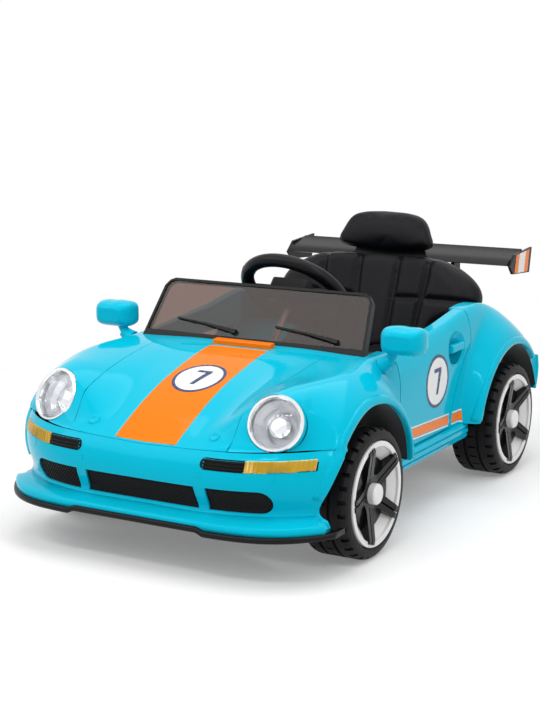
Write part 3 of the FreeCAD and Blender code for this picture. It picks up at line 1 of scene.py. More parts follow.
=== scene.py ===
"""Looks of the electric ride on car: materials, soft seat, trim, stickers, light and camera.

Everything is in metres in the frame of the solids: floor at z = 0, nose towards -Y, the car's left on +X.
"""

import json
import math

import bmesh
import bpy
from mathutils import Matrix, Vector
from mathutils.bvhtree import BVHTree

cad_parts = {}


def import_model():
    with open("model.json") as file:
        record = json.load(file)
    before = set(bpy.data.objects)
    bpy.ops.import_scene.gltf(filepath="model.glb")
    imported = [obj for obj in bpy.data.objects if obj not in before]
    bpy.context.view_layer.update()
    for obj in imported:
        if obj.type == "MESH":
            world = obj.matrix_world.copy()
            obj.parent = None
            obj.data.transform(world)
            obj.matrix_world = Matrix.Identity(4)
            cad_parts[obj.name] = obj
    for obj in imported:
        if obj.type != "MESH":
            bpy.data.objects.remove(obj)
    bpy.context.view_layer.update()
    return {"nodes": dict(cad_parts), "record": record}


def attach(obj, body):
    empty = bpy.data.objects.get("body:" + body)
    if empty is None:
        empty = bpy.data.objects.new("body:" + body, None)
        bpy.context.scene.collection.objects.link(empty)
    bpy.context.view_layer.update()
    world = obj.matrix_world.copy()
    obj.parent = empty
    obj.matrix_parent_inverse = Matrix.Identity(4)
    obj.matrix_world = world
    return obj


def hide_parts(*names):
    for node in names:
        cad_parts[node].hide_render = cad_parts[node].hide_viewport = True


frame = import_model()
NODES = frame["nodes"]
MM = 0.001
SIDES = (1, -1)

# Camera found from the two visible wheels and the mirrored pairs of features
CAMERA_POS = Vector((1.3480, -2.3862, 0.7962))
CAMERA_AZIMUTH = 30.42
CAMERA_ELEVATION = 11.36
CAMERA_ROLL = -0.29
CAMERA_LENS = 77.5
SENSOR = 36.0

# Colours as linear red, green, blue
TURQUOISE = (0.002, 0.49, 0.67)
ORANGE = (0.93, 0.20, 0.002)
BLACK = (0.005, 0.005, 0.006)
WHITE = (0.80, 0.80, 0.79)
NAVY = (0.012, 0.03, 0.12)
AMBER = (0.72, 0.43, 0.008)
RED = (0.50, 0.012, 0.01)
STEEL = (0.50, 0.50, 0.51)
# Bands of the wave texture in a metre at scale 1
BANDS_PER_METRE = 3.1831

# Body and fit
LIFT = 0.35 * MM
SEAM_STEP = 1.4 * MM
RAY_REACH = 0.6
RAY_SIDE_X = 0.7
RAY_TOP_Z = 0.7
RAY_FRONT_Y = -0.8
RAY_REAR_Y = 0.8
WHEEL_R = 0.106
FRONT_AXLE_Y = -0.270
REAR_AXLE_Y = 0.310
WHEEL_FACE_X = 0.300
# Radius and depth of the black disc between the spokes
DISH = ((0.018, -0.0125), (0.048, -0.0112), (0.056, -0.0112), (0.0585, -0.0125), (0.0585, -0.0170))

# Stickers
SILL_SLOPE = -0.049
SILL_STRIPE_Z = (0.1415, 0.1575)
PINSTRIPE_LOW_Z = (0.1375, 0.1402)
PINSTRIPE_HIGH_Z = (0.1588, 0.1615)
DOOR_STRIPE_Y = (-0.098, 0.098)
QUARTER_STRIPE_Y = (0.112, 0.150)
DOOR_DISC_Y = 0.040
DOOR_DISC_Z = 0.226
DOOR_DISC_R = 0.047
BONNET_DISC_Y = -0.318
BONNET_DISC_R = 0.045
WING_BAND_Y = (0.430, 0.448, 0.480, 0.499)
WING_LOW_Y = 0.418
WING_LOW_Z = 0.3665
WING_HIGH_Y = 0.426
WING_HIGH_Z = 0.4005
WING_FLARE = 0.06
WING_LEAN_LOW = 0.006
WING_LEAN_HIGH = 0.003

# Screw caps: profile in radii, then places and radii
CAP = ((1.0, -0.05), (1.0, 0.08), (0.93, 0.13), (0.4, 0.13), (0.35, 0.08), (0.0, 0.08))
BONNET_CAP = (0.114, -0.452)
BONNET_CAP_R = 0.010
BUMPER_CAPS = ((0.110, 0.167), (0.226, 0.1685))
BUMPER_CAP_R = 0.0045

# Bumper openings
GRILLE_LOW = 0.110
GRILLE_HIGH = 0.147
GRILLE_CENTRE_X = 0.102
SIDE_GRILLE_IN = 0.121
SIDE_GRILLE_OUT = 0.221
GRILLE_EDGE = 0.0015
MESH_PITCH = 0.0055
WIRE_STEP = 0.0035
WIRE_HALF = 0.0007
WIRE_HALF_HIGH = 0.0009

# Wheel arches
ARCH_R = 0.143
# Distance from the edge and height of the raised band, in millimetres
BAND_SECTION = ((0.8, -5.0), (0.8, 1.8), (1.8, 2.8), (6.0, 3.0), (11.0, 2.4), (14.0, 1.2), (15.5, -1.0))
# First and last angle, in degrees from the tail, of the raised band and of the black sheet of painted shade
# in the well
FRONT_BAND = (10.0, 170.0)
FRONT_PAINTED_SHADE = (9.0, 174.0)
REAR_BAND = (45.0, 170.0)
REAR_PAINTED_SHADE = (16.0, 171.0)
# Ends of the rear bumper
END_X = 0.2885
END_LOW_Z = 0.1385
END_HIGH_Z = 0.2045
# Inner end of the wells, and the distance of the black sheets of painted shade from the panel's face
WELL_IN_X = 0.163
ARCH_EDGE = 0.007
# Depths of the two faces of a black sheet of painted shade under the edge of the opening, in millimetres
PAINTED_SHADE_DEPTHS = (0.4, 1.2)

# Lamp slot of the bumper
SLOT_IN_X = 0.111
SLOT_SPLIT_X = 0.182
SLOT_OUT_X = 0.274
SLOT_MIDDLE_Z = 0.1838
SLOT_HALF = 0.0086
LENS_RIB = 0.0004
LENS_RIB_PITCH = 0.004
LENS_RIBBED = 0.62
# Height in half slots and lift of the vent's plate
VENT_SECTION = ((-1.0, -0.001), (-1.0, 0.0005), (-0.5, 0.0005), (0.0, 0.0005), (0.5, 0.0005), (1.0, 0.0005),
                (1.0, -0.001))
SLAT_PITCH = 0.0046
SLAT_LIFT = 0.0013
SLAT_HALF = 0.0010
SLAT_HALF_HIGH = 0.0012

# Lip under the bumper
LIP_Y = -0.515
LIP_BOW = 0.105
LIP_POWER = 5.5
LIP_HALF = 0.312
LIP_END_X = 0.306
LIP_TOP = 0.0845
LIP_THICK = 0.009
LIP_DEEP = 0.030
LIP_STEP = 0.0055
LIP_STEP_X = 0.121
LIP_STEP_RUN = 0.012

# Skirt of the bumper over the lip
SKIRT_END_X = 0.294
SKIRT_INSET = 0.006
SKIRT_EDGE_Z = 0.0945
SKIRT_TOP_Z = 0.0975
SKIRT_INNER_Z = 0.0855
WAIST_END_X = 0.272
WAIST_Z = 0.108

# Stripe end under the windscreen
LEDGE_X = 0.057
LEDGE_Y = -0.172
LEDGE_DEEP = 0.014
LEDGE_HIGH = 0.009

# Steering wheel
STEER_CENTRE = Vector((0.0, 0.001, 0.369))
STEER_R = 0.092
GRIP_ANGLES = (38.0, 142.0, 218.0, 322.0)
GRIP_RING = ((0.0118, -0.0009), (0.0125, -0.0005), (0.0125, 0.0005), (0.0118, 0.0009))

# Seat
RECLINE = math.radians(17.0)
BACK_MIDDLE = Vector((0.0, 0.353, 0.297))
BACK_UP = Vector((0.0, math.sin(RECLINE), math.cos(RECLINE)))
BACK_AHEAD = Vector((0.0, -math.cos(RECLINE), math.sin(RECLINE)))
SEAM_IN_X = 0.036
SEAM_OUT_X = 0.098
BELT_HIGH = 0.010
BELT_END_X = 0.25
CROSS_SEAM_Y = 0.115
HEAD_SEAM_AHEAD = 0.012
# Width and depth of the seams
SEAM_IN = (0.006, 0.006)
SEAM_OUT = (0.007, 0.008)
BELT_SEAM = (0.006, 0.005)
CROSS_SEAM = (0.006, 0.004)
HEAD_SEAM = (0.004, 0.002)
# Width of the pads over that of the solids
BACK_WIDE = 1.02
BACK_SPREAD = 0.13
HEAD_WIDE = 1.12
VOXEL = 0.005
PAD_SHRINK = 0.003
SWELL_CAP = 0.006
SWELL_PRESSURE = 4.0
SWELL_STIFFNESS = 12.0
SWELL_BENDING = 0.4
SWELL_FRAMES = 20

# Floor, and where it fades out
FLOOR_HALF = 14.0
FLOOR_Z = -0.0004
FADE_START = 0.75
FADE_END = 1.7


# Materials


def links(tree, *pairs):
    """Join sockets two by two."""
    for a, b in pairs:
        tree.links.new(a, b)


def ranged(tree, value, low, high):
    """Bring a 0 to 1 value between two limits."""
    node = tree.nodes.new("ShaderNodeMapRange")
    node.inputs["To Min"].default_value = low
    node.inputs["To Max"].default_value = high
    tree.links.new(value, node.inputs["Value"])
    return node.outputs["Result"]


def noise(tree, scale, detail=2.0, stretch=(1.0, 1.0, 1.0)):
    """Noise in the frame's metres."""
    place = tree.nodes.new("ShaderNodeTexCoord")
    mapping = tree.nodes.new("ShaderNodeMapping")
    mapping.inputs["Scale"].default_value = stretch
    node = tree.nodes.new("ShaderNodeTexNoise")
    node.inputs["Scale"].default_value = scale
    node.inputs["Detail"].default_value = detail
    links(tree, (place.outputs["Object"], mapping.inputs["Vector"]))
    links(tree, (mapping.outputs["Vector"], node.inputs["Vector"]))
    return node.outputs["Fac"]


def bump(tree, shader, height, strength, distance):
    """Relief on the shader's normal."""
    node = tree.nodes.new("ShaderNodeBump")
    node.inputs["Strength"].default_value = strength
    node.inputs["Distance"].default_value = distance
    links(tree, (height, node.inputs["Height"]), (node.outputs["Normal"], shader.inputs["Normal"]))


def material(name, colour, rough, vary=0.05, blotch=14.0, grain=0.0, grain_scale=900.0, **extra):
    """A principled material with slight colour and gloss variation and a fine grain."""
    mat = bpy.data.materials.new(name)
    mat.use_nodes = True
    tree = mat.node_tree
    shader = tree.nodes["Principled BSDF"]
    for key, value in extra.items():
        shader.inputs[key.replace("_", " ")].default_value = value
    mix = tree.nodes.new("ShaderNodeMix")
    mix.data_type = "RGBA"
    mix.inputs[6].default_value = (*[c * (1.0 - vary) for c in colour], 1.0)
    mix.inputs[7].default_value = (*[min(c * (1.0 + vary), 1.0) for c in colour], 1.0)
    cloud = noise(tree, blotch, 3.0)
    fine = noise(tree, blotch * 9.0, 4.0)
    links(tree, (cloud, mix.inputs["Factor"]), (mix.outputs[2], shader.inputs["Base Color"]))
    links(tree, (ranged(tree, fine, rough * 0.8, min(rough * 1.2, 1.0)), shader.inputs["Roughness"]))
    if grain:
        bump(tree, shader, noise(tree, grain_scale, 3.0), grain, 0.0004)
    return mat


def leather(name):
    """Black grained leather cloth: cells with creases between them."""
    mat = material(name, (0.005, 0.005, 0.0065), 0.36, vary=0.2, blotch=22.0, IOR=1.22)
    tree = mat.node_tree
    shader = tree.nodes["Principled BSDF"]
    place = tree.nodes.new("ShaderNodeTexCoord")
    cells = tree.nodes.new("ShaderNodeTexVoronoi")
    cells.feature = "DISTANCE_TO_EDGE"
    cells.inputs["Scale"].default_value = 520.0
    tree.links.new(place.outputs["Object"], cells.inputs["Vector"])
    bump(tree, shader, ranged(tree, cells.outputs["Distance"], 0.0, 1.6), 0.35, 0.0007)
    return mat


def ribbed(name, colour, pitch, axis, **extra):
    """A moulded lens with fine ribs across it."""
    mat = material(name, colour, 0.12, vary=0.08, blotch=30.0, **extra)
    tree = mat.node_tree
    place = tree.nodes.new("ShaderNodeTexCoord")
    wave = tree.nodes.new("ShaderNodeTexWave")
    wave.bands_direction = axis
    wave.inputs["Scale"].default_value = 1.0 / (pitch * BANDS_PER_METRE)
    tree.links.new(place.outputs["Object"], wave.inputs["Vector"])
    bump(tree, tree.nodes["Principled BSDF"], wave.outputs["Fac"], 0.8, 0.001)
    return mat


PAINT = material("body_turquoise", TURQUOISE, 0.07, vary=0.025, blotch=5.0, grain=0.02, grain_scale=120.0,
                 IOR=1.26, Specular_Tint=(0.12, 0.75, 1.0, 1.0))
STRIPE = material("stripe_orange", ORANGE, 0.08, vary=0.03, blotch=6.0, grain=0.02, grain_scale=120.0,
                  IOR=1.21)
TRIM = material("black_plastic", BLACK, 0.34, vary=0.2, grain=0.2, grain_scale=1100.0, IOR=1.25)
STAR_BLACK = material("star_black", (0.003, 0.003, 0.0035), 0.22, vary=0.2, grain=0.05, IOR=1.3)
BOWL = material("reflector", (0.86, 0.87, 0.89), 0.16, vary=0.03, blotch=80.0, grain=0.5, grain_scale=240.0,
                Metallic=0.75)
RIM_WHITE = material("white_plastic", WHITE, 0.22, vary=0.02, grain=0.04)
RUBBER = material("tyre_black", (0.008, 0.008, 0.009), 0.5, vary=0.25, blotch=40.0, grain=0.4,
                  grain_scale=1500.0, IOR=1.25)
CHROME = material("chrome_trim", (0.80, 0.81, 0.83), 0.10, vary=0.02, Metallic=1.0)
LENS = material("clear_lens", (0.97, 0.98, 0.99), 0.03, vary=0.005, Transmission_Weight=1.0, IOR=1.3)
PANE = material("tinted_pane", (0.17, 0.10, 0.08), 0.05, vary=0.05, Transmission_Weight=0.92, IOR=1.35)
STEEL_BARE = material("steel", STEEL, 0.34, vary=0.08, blotch=60.0, grain=0.1, Metallic=1.0)
MIRROR = material("mirror_silver", (0.86, 0.87, 0.88), 0.03, vary=0.01, Metallic=1.0)
HIDE = leather("seat_leather")
AMBER_LENS = ribbed("amber_lens", AMBER, 0.006, "X", Transmission_Weight=0.35, IOR=1.4)
RED_LENS = ribbed("red_lens", RED, 0.006, "X", Transmission_Weight=0.3, IOR=1.4)
STICKER_WHITE = material("sticker_white", (0.82, 0.82, 0.81), 0.25, vary=0.02)
STICKER_ORANGE = material("sticker_orange", ORANGE, 0.25, vary=0.03, Specular_IOR_Level=0.25)
STICKER_BLACK = material("vent_black", (0.002, 0.002, 0.002), 0.5, vary=0.3, IOR=1.2)
STICKER_NAVY = material("sticker_navy", NAVY, 0.28, vary=0.05)

LOOKS = {
    "body_turquoise": PAINT, "stripe_orange": STRIPE, "black_plastic": TRIM, "white_plastic": RIM_WHITE,
    "tyre_black": RUBBER, "chrome_trim": CHROME, "clear_lens": LENS, "amber_lens": AMBER_LENS,
    "red_lens": RED_LENS, "tinted_pane": PANE, "steel": STEEL_BARE, "seat_leather": HIDE,
    "mirror_silver": MIRROR,
}


def wheels():
    """The four wheels: side, axle, body and place on the car."""
    for side, tag in ((1, "left"), (-1, "right")):
        yield side, FRONT_AXLE_Y, "wheel_f" + tag[0], "front_" + tag
        yield side, REAR_AXLE_Y, "wheel_r" + tag[0], "rear_" + tag


def dress_solids():
    """Give every solid the material of its slot."""
    for entry in frame["record"]["subparts"]:
        obj = NODES[entry["node"]]
        obj.data.materials.clear()
        obj.data.materials.append(LOOKS[entry["material_slot"]])
    NODES["headlight_bowls"].data.materials[0] = BOWL
    for _, _, _, place in wheels():
        NODES["spokes_" + place].data.materials[0] = STAR_BLACK


# Mesh helpers


def piece(name, verts, faces, mat, body="chassis", smooth=True):
    """A new piece in the frame that rides on a body."""
    mesh = bpy.data.meshes.new(name)
    mesh.from_pydata([tuple(v) for v in verts], [], faces)
    mesh.materials.append(mat)
    mesh.polygons.foreach_set("use_smooth", [smooth] * len(mesh.polygons))
    obj = bpy.data.objects.new(name, mesh)
    bpy.context.scene.collection.objects.link(obj)
    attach(obj, body)
    return obj


class Patch:
    """Points and faces of one piece, added bit by bit."""

    def __init__(self):
        self.verts = []
        self.faces = []

    def grid(self, rows, close=False):
        """A sheet through rows of points; close joins each row's end to its start."""
        n = len(rows[0])
        first = len(self.verts)
        for row in rows:
            self.verts.extend(row)
        last = n if close else n - 1
        for i in range(len(rows) - 1):
            for j in range(last):
                k = (j + 1) % n
                a = first + i * n
                self.faces.append((a + j, a + k, a + n + k, a + n + j))
        return first

    def lathe(self, profile, place, segments=24):
        """A turned shape: profile of (radius, height) about the local Z of a place."""
        rows = []
        turn = [2.0 * math.pi * i / segments for i in range(segments)]
        for radius, h in profile:
            r = max(radius, 1e-6)
            rows.append([place @ Vector((r * math.cos(t), r * math.sin(t), h)) for t in turn])
        self.grid(rows, close=True)

    def tube(self, rows):
        """A closed skin through rows of points that go round, with both ends covered."""
        first = self.grid(rows, close=True)
        n = len(rows[0])
        end = first + n * (len(rows) - 1)
        self.faces.append(tuple(first + i for i in reversed(range(n))))
        self.faces.append(tuple(end + i for i in range(n)))

    def bar(self, points, half_wide, half_high):
        """A square bar along points, with its width along Z."""
        rows = []
        for i, p in enumerate(points):
            way = points[min(i + 1, len(points) - 1)] - points[max(i - 1, 0)]
            out = way.cross(Vector((0, 0, 1))).normalized()
            up = Vector((0, 0, half_high))
            out *= half_wide
            rows.append([p + out + up, p - out + up, p - out - up, p + out - up])
        self.tube(rows)


def surface(*nodes):
    """A ray target from the solids of some nodes."""
    verts = []
    faces = []
    for name in nodes:
        mesh = NODES[name].data
        first = len(verts)
        verts.extend(v.co.copy() for v in mesh.vertices)
        faces.extend([first + i for i in p.vertices] for p in mesh.polygons)
    return BVHTree.FromPolygons(verts, faces)


def standing(point, normal):
    """A place at a point whose local Z is the normal."""
    z = normal.normalized()
    x = z.orthogonal().normalized()
    y = z.cross(x)
    rot = Matrix((x, y, z)).transposed().to_4x4()
    return Matrix.Translation(point) @ rot


def laid(target, start, way, lift=LIFT):
    """The point where a ray meets the target, lifted off it; a ray lost in a seam is taken from beside it."""
    for shift in (0.0, SEAM_STEP, -SEAM_STEP):
        aside = Vector((0, 0, shift)) if abs(way.z) < 0.5 else Vector((0, shift, 0))
        hit, normal, _, _ = target.ray_cast(start + aside, way, RAY_REACH)
        if hit is not None:
            break
    else:
        raise ValueError(f"no surface under {tuple(start)}")
    if normal.dot(way) > 0:
        normal = -normal
    return hit - aside + normal * lift


def on_side(target, side, y, z, lift=LIFT):
    """A point on the flank of the body, from its side."""
    return laid(target, Vector((side * RAY_SIDE_X, y, z)), Vector((-side, 0, 0)), lift)


def on_top(target, x, y, lift=LIFT):
    """A point on the top of the body, from above."""
    return laid(target, Vector((x, y, RAY_TOP_Z)), Vector((0, 0, -1)), lift)


def on_front(target, x, z, lift=LIFT):
    """A point on the nose of the body, from ahead."""
    return laid(target, Vector((x, RAY_FRONT_Y, z)), Vector((0, 1, 0)), lift)


def spread(a, b, n):
    """n values from a to b."""
    return [a + (b - a) * i / (n - 1) for i in range(n)]


# Stickers


def disc(place, radius_in, radius_out, rings=5, segments=56):
    """A ring sticker laid on a surface by a place function of two coordinates."""
    patch = Patch()
    rows = []
    turn = [2 * math.pi * i / segments for i in range(segments)]
    for r in spread(radius_in, radius_out, rings):
        rows.append([place(r * math.cos(t), r * math.sin(t)) for t in turn])
    patch.grid(rows, close=True)
    return patch


def strip(place, corners, n=14, m=4):
    """A four-cornered sticker laid on a surface by a place function of two coordinates."""
    (a, b), (c, d) = corners
    patch = Patch()
    rows = []
    for s in spread(0.0, 1.0, n):
        low = Vector(a).lerp(Vector(b), s)
        high = Vector(c).lerp(Vector(d), s)
        rows.append([place(*low.lerp(high, t)) for t in spread(0.0, 1.0, m)])
    patch.grid(rows)
    return patch


def sticker(name, patches, mat, body):
    """One sticker piece from patches."""
    verts = []
    faces = []
    for patch in patches:
        first = len(verts)
        verts.extend(patch.verts)
        faces.extend(tuple(first + i for i in f) for f in patch.faces)
    return piece(name, verts, faces, mat, body)


def number_seven(place, size):
    """The strokes of a plain racing number."""
    h = size
    w = size * 0.62
    t = size * 0.30
    top = strip(place, (((-w, h - t), (w, h - t)), ((-w, h), (w, h))), 8, 4)
    leg = strip(place, (((-w * 0.35, -h), (w * 0.28, h - t)), ((w * 0.25, -h), (w, h - t))), 10, 5)
    return [top, leg]


def roundel(name, place, radius, body):
    """Plain white racing disc with a dark edge and a number."""
    def raised(lift):
        return lambda a, b: place(a, b, LIFT + lift)

    sticker(name + "_disc", [disc(raised(0.0), 0.0, radius * 0.88)], STICKER_WHITE, body)
    sticker(name + "_edge", [disc(raised(0.0), radius * 0.88, radius)], STICKER_NAVY, body)
    number = number_seven(raised(0.15 * MM), radius * 0.5)
    sticker(name + "_number", number, STICKER_NAVY, body)


def door_stickers():
    """Orange sill stripe with white edges, and a number disc, on each door."""
    for side, tag, body in ((1, "left", "door_l"), (-1, "right", "door_r")):
        door = surface("door_" + tag)
        quarter = surface("rear_quarter_" + tag)

        def band(target, ends, heights):
            lower, upper = [[(y, z + SILL_SLOPE * y) for y in ends] for z in heights]
            return strip(lambda y, z: on_side(target, side, y, z), (lower, upper), 30, 4)

        def striped(name, target, ends, rider):
            edges = [band(target, ends, PINSTRIPE_LOW_Z), band(target, ends, PINSTRIPE_HIGH_Z)]
            stripe = [band(target, ends, SILL_STRIPE_Z)]
            sticker(f"{name}_stripe_{tag}", stripe, STICKER_ORANGE, rider)
            sticker(f"{name}_pinstripes_{tag}", edges, STICKER_WHITE, rider)

        striped("door", door, DOOR_STRIPE_Y, body)
        striped("quarter", quarter, QUARTER_STRIPE_Y, "chassis")

        def disc_place(a, b, lift):
            return on_side(door, side, DOOR_DISC_Y + side * a, DOOR_DISC_Z + b, lift)

        roundel(f"door_disc_{tag}", disc_place, DOOR_DISC_R, body)


def bonnet_stickers():
    """Number disc on the bonnet stripe."""
    target = surface("bonnet_stripe")

    def place(a, b, lift):
        return on_top(target, a, BONNET_DISC_Y + b, lift)

    roundel("bonnet_disc", place, BONNET_DISC_R, "chassis")


def wing_stickers():
    """Orange and white bands on the outer face of each wing end plate."""
    target = surface("wing_end_plates")
    for side, tag in ((1, "left"), (-1, "right")):
        def place(y, z):
            return on_side(target, side, y, z)

        def band(*ends):
            low_y = [y - WING_LEAN_LOW for y in ends]
            high_y = [y + WING_LEAN_HIGH for y in ends]
            low = [(y, WING_LOW_Z - WING_FLARE * (y - WING_LOW_Y)) for y in low_y]
            high = [(y, WING_HIGH_Z + WING_FLARE * (y - WING_HIGH_Y)) for y in high_y]
            return strip(place, (low, high), 6, 5)

        first, second, third, last = WING_BAND_Y
        ends = [band(first, second), band(third, last)]
        sticker(f"wing_ends_{tag}", ends, STICKER_ORANGE, "chassis")
        sticker(f"wing_band_{tag}", [band(second, third)], STICKER_WHITE, "chassis")


# Small trim


def cap_on(patch, target, start, way, radius):
    """Add a round plug where a ray meets the target."""
    hit, normal, _, _ = target.ray_cast(Vector(start), Vector(way))
    if normal.dot(Vector(way)) > 0:
        normal = -normal
    patch.lathe([(r * radius, h * radius) for r, h in CAP], standing(hit, normal))


def screw_caps():
    """Round plugs over the fixing screws of bonnet and bumper."""
    patch = Patch()
    bonnet = surface("bonnet")
    bumper = surface("front_bumper")
    for side in SIDES:
        x, y = BONNET_CAP
        cap_on(patch, bonnet, (side * x, y, RAY_TOP_Z), (0, 0, -1), BONNET_CAP_R)
        for x, z in BUMPER_CAPS:
            cap_on(patch, bumper, (side * x, RAY_FRONT_Y, z), (0, 1, 0), BUMPER_CAP_R)
    return piece("screw_caps", patch.verts, patch.faces, PAINT)


def dish_inserts():
    """Black disc between the spokes of each wheel, over the bottom of the dish."""
    for side, axle, body, place in wheels():
        patch = Patch()
        patch.lathe(DISH, standing(Vector((side * WHEEL_FACE_X, axle, WHEEL_R)), Vector((side, 0, 0))), 64)
        piece("dish_insert_" + place, patch.verts, patch.faces, STAR_BLACK, body)


def arches():
    """The four wheel openings: side, axle, angles of band and of the black sheet of painted shade, and the
    panels round them.
    """
    for side, tag in ((1, "left"), (-1, "right")):
        front = surface("front_fender_" + tag, "front_bumper")
        yield side, FRONT_AXLE_Y, FRONT_BAND, FRONT_PAINTED_SHADE, front
        rear = surface("rear_quarter_" + tag, "rear_bumper")
        yield side, REAR_AXLE_Y, REAR_BAND, REAR_PAINTED_SHADE, rear


def arch_flares():
    """Raised bands round the wheel openings."""
    patch = Patch()
    for side, axle, (low, high), _, target in arches():
        rows = []
        for angle in spread(low, high, 61):
            t = math.radians(angle)
            row = []
            for out, lift in BAND_SECTION:
                r = ARCH_R + out * MM
                y = axle + r * math.cos(t)
                row.append(on_side(target, side, y, WHEEL_R + r * math.sin(t), lift * MM))
            rows.append(row)
        patch.tube(rows)
    return piece("arch_flares", patch.verts, patch.faces, PAINT)


def arch_painted_shade():
    """Black sheets in the wheel wells: painted shade over the turquoise inside of the wells."""
    patch = Patch()
    for side, axle, (low, high), (first, last), target in arches():
        rows = []
        for angle in spread(first, last, 61):
            t = math.radians(angle)
            edge = math.radians(min(max(angle, low), high))
            r = ARCH_R + MM
            rim = on_side(target, side, axle + r * math.cos(edge), WHEEL_R + r * math.sin(edge), 0.0)
            row = []
            out = abs(rim.x) - ARCH_EDGE
            face, back = PAINTED_SHADE_DEPTHS
            for x, depth in ((WELL_IN_X, face), (out, face), (out, back), (WELL_IN_X, back)):
                r = ARCH_R - depth * MM
                row.append(Vector((side * x, axle + r * math.cos(t), WHEEL_R + r * math.sin(t))))
            rows.append(row)
        patch.tube(rows)
    # Black plastic here is painted shade, standing in for the shadowed turquoise inside of the wells
    return piece("arch_painted_shade", patch.verts, patch.faces, TRIM)


def bumper_ends():
    """Closed ends of the rear bumper, from its corners to the wheel openings."""
    bumper = surface("rear_bumper")
    patch = Patch()
    for side, tag in ((1, "left"), (-1, "right")):
        quarter = surface("rear_quarter_" + tag)
        rows = []
        for t in spread(0.0, 1.0, 9):
            z = END_LOW_Z + (END_HIGH_Z - END_LOW_Z) * t
            start = REAR_AXLE_Y + math.sqrt((ARCH_R + 0.4 * MM) ** 2 - (z - WHEEL_R) ** 2)
            end = laid(bumper, Vector((side * END_X, RAY_REAR_Y, z)), Vector((0, -1, 0)), -1.0 * MM).y
            row = []
            ledge = []
            for s in spread(0.0, 1.0, 9):
                y = start + (end - start) * s
                above = abs(on_side(quarter, side, y, END_HIGH_Z + 5.0 * MM, -0.3 * MM).x)
                inset = max(END_X - above, 0.0)
                row.append(Vector((side * (END_X - inset * t * (1.0 - s)), y, z)))
                ledge.append(Vector((side * (END_X - inset - 2.0 * MM), y, z)))
            rows.append(row)
        patch.grid(rows + [ledge])
    return piece("bumper_ends", patch.verts, patch.faces, PAINT)


def signal_lenses():
    """Ribbed amber lenses round the bumper's corners."""
    target = surface("front_bumper", "signal_lenses", "bumper_grilles")
    patch = Patch()
    for side in SIDES:
        rows = []
        for x in spread(SLOT_SPLIT_X, SLOT_OUT_X, 96):
            t = (x - SLOT_SPLIT_X) / (SLOT_OUT_X - SLOT_SPLIT_X)
            low = SLOT_MIDDLE_Z - SLOT_HALF + 0.003 * t * t
            high = SLOT_MIDDLE_Z + SLOT_HALF + 0.002 * t
            rib = LENS_RIB * math.cos(2 * math.pi * x / LENS_RIB_PITCH) if t < LENS_RIBBED else 0.0
            lifts = ((0.0, -0.002), (0.0, 0.0006), (0.08, 0.0014), (0.16, 0.0014 + rib), (0.84, 0.0014 + rib),
                     (0.92, 0.0014), (1.0, 0.0006), (1.0, -0.002))
            rows.append([on_front(target, side * x, low + (high - low) * u, lift) for u, lift in lifts])
        patch.tube(rows)
    obj = piece("signal_lens_pair", patch.verts, patch.faces, AMBER_LENS)
    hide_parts("signal_lenses")
    return obj


def slot_vents():
    """Black round-ended vents with slats beside the signal lenses."""
    target = surface("front_bumper", "signal_lenses", "bumper_grilles")
    plate = Patch()
    slats = Patch()
    for side in SIDES:
        rows = []
        for x in spread(SLOT_IN_X + 0.0002, SLOT_SPLIT_X, 37):
            back = max(SLOT_IN_X + SLOT_HALF - x, 0.0)
            h = math.sqrt(SLOT_HALF**2 - back**2)
            heights = [(SLOT_MIDDLE_Z + h * u, lift) for u, lift in VENT_SECTION]
            rows.append([on_front(target, side * x, z, lift) for z, lift in heights])
        plate.tube(rows)
        for k in (-1, 0, 1):
            z = SLOT_MIDDLE_Z + k * SLAT_PITCH
            xs = spread(SLOT_IN_X + (0.003 if k == 0 else 0.005), SLOT_SPLIT_X - 0.001, 14)
            slats.bar([on_front(target, side * x, z, SLAT_LIFT) for x in xs], SLAT_HALF, SLAT_HALF_HIGH)
    piece("vent_plates", plate.verts, plate.faces, STICKER_BLACK)
    piece("vent_slats", slats.verts, slats.faces, TRIM, smooth=False)


def lip_y(x):
    """Front edge of the lip in plan."""
    return LIP_Y + LIP_BOW * (abs(x) / LIP_HALF) ** LIP_POWER


def front_lip():
    """Thin black blade under the bumper with its raised middle."""
    patch = Patch()
    rows = []
    for x in spread(-LIP_END_X, LIP_END_X, 141):
        step = LIP_STEP * min(max((LIP_STEP_X - abs(x)) / LIP_STEP_RUN + 0.5, 0.0), 1.0)
        top = LIP_TOP + step
        front = lip_y(x)
        back = front + LIP_DEEP
        low = top - LIP_THICK
        section = ((back, top), (front + 0.003, top), (front + 0.0008, top - 0.001), (front, top - 0.003),
                   (front, low + 0.002), (front + 0.002, low), (back, low))
        rows.append([Vector((x, y, z)) for y, z in section])
    patch.tube(rows)
    obj = piece("front_lip_blade", patch.verts, patch.faces, TRIM)
    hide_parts("front_lip")
    return obj


def bumper_skirt():
    """Foot of the bumper that spreads out over the lip at the corners."""
    target = surface("front_bumper")
    patch = Patch()
    rows = []
    for x in spread(-SKIRT_END_X, SKIRT_END_X, 97):
        front = lip_y(x) + SKIRT_INSET
        waist = on_front(target, min(max(x, -WAIST_END_X), WAIST_END_X), WAIST_Z, -0.001)
        mid = Vector((x, front + 0.004, SKIRT_TOP_Z))
        inner = Vector((x, max(front + 0.02, waist.y), SKIRT_INNER_Z))
        rows.append([
            Vector((x, front, LIP_TOP - 0.002)), Vector((x, front, SKIRT_EDGE_Z)), mid,
            mid.lerp(waist, 0.55) - Vector((0, 0, 0.003)), waist, inner,
        ])
    patch.tube(rows)
    return piece("bumper_skirt", patch.verts, patch.faces, PAINT)


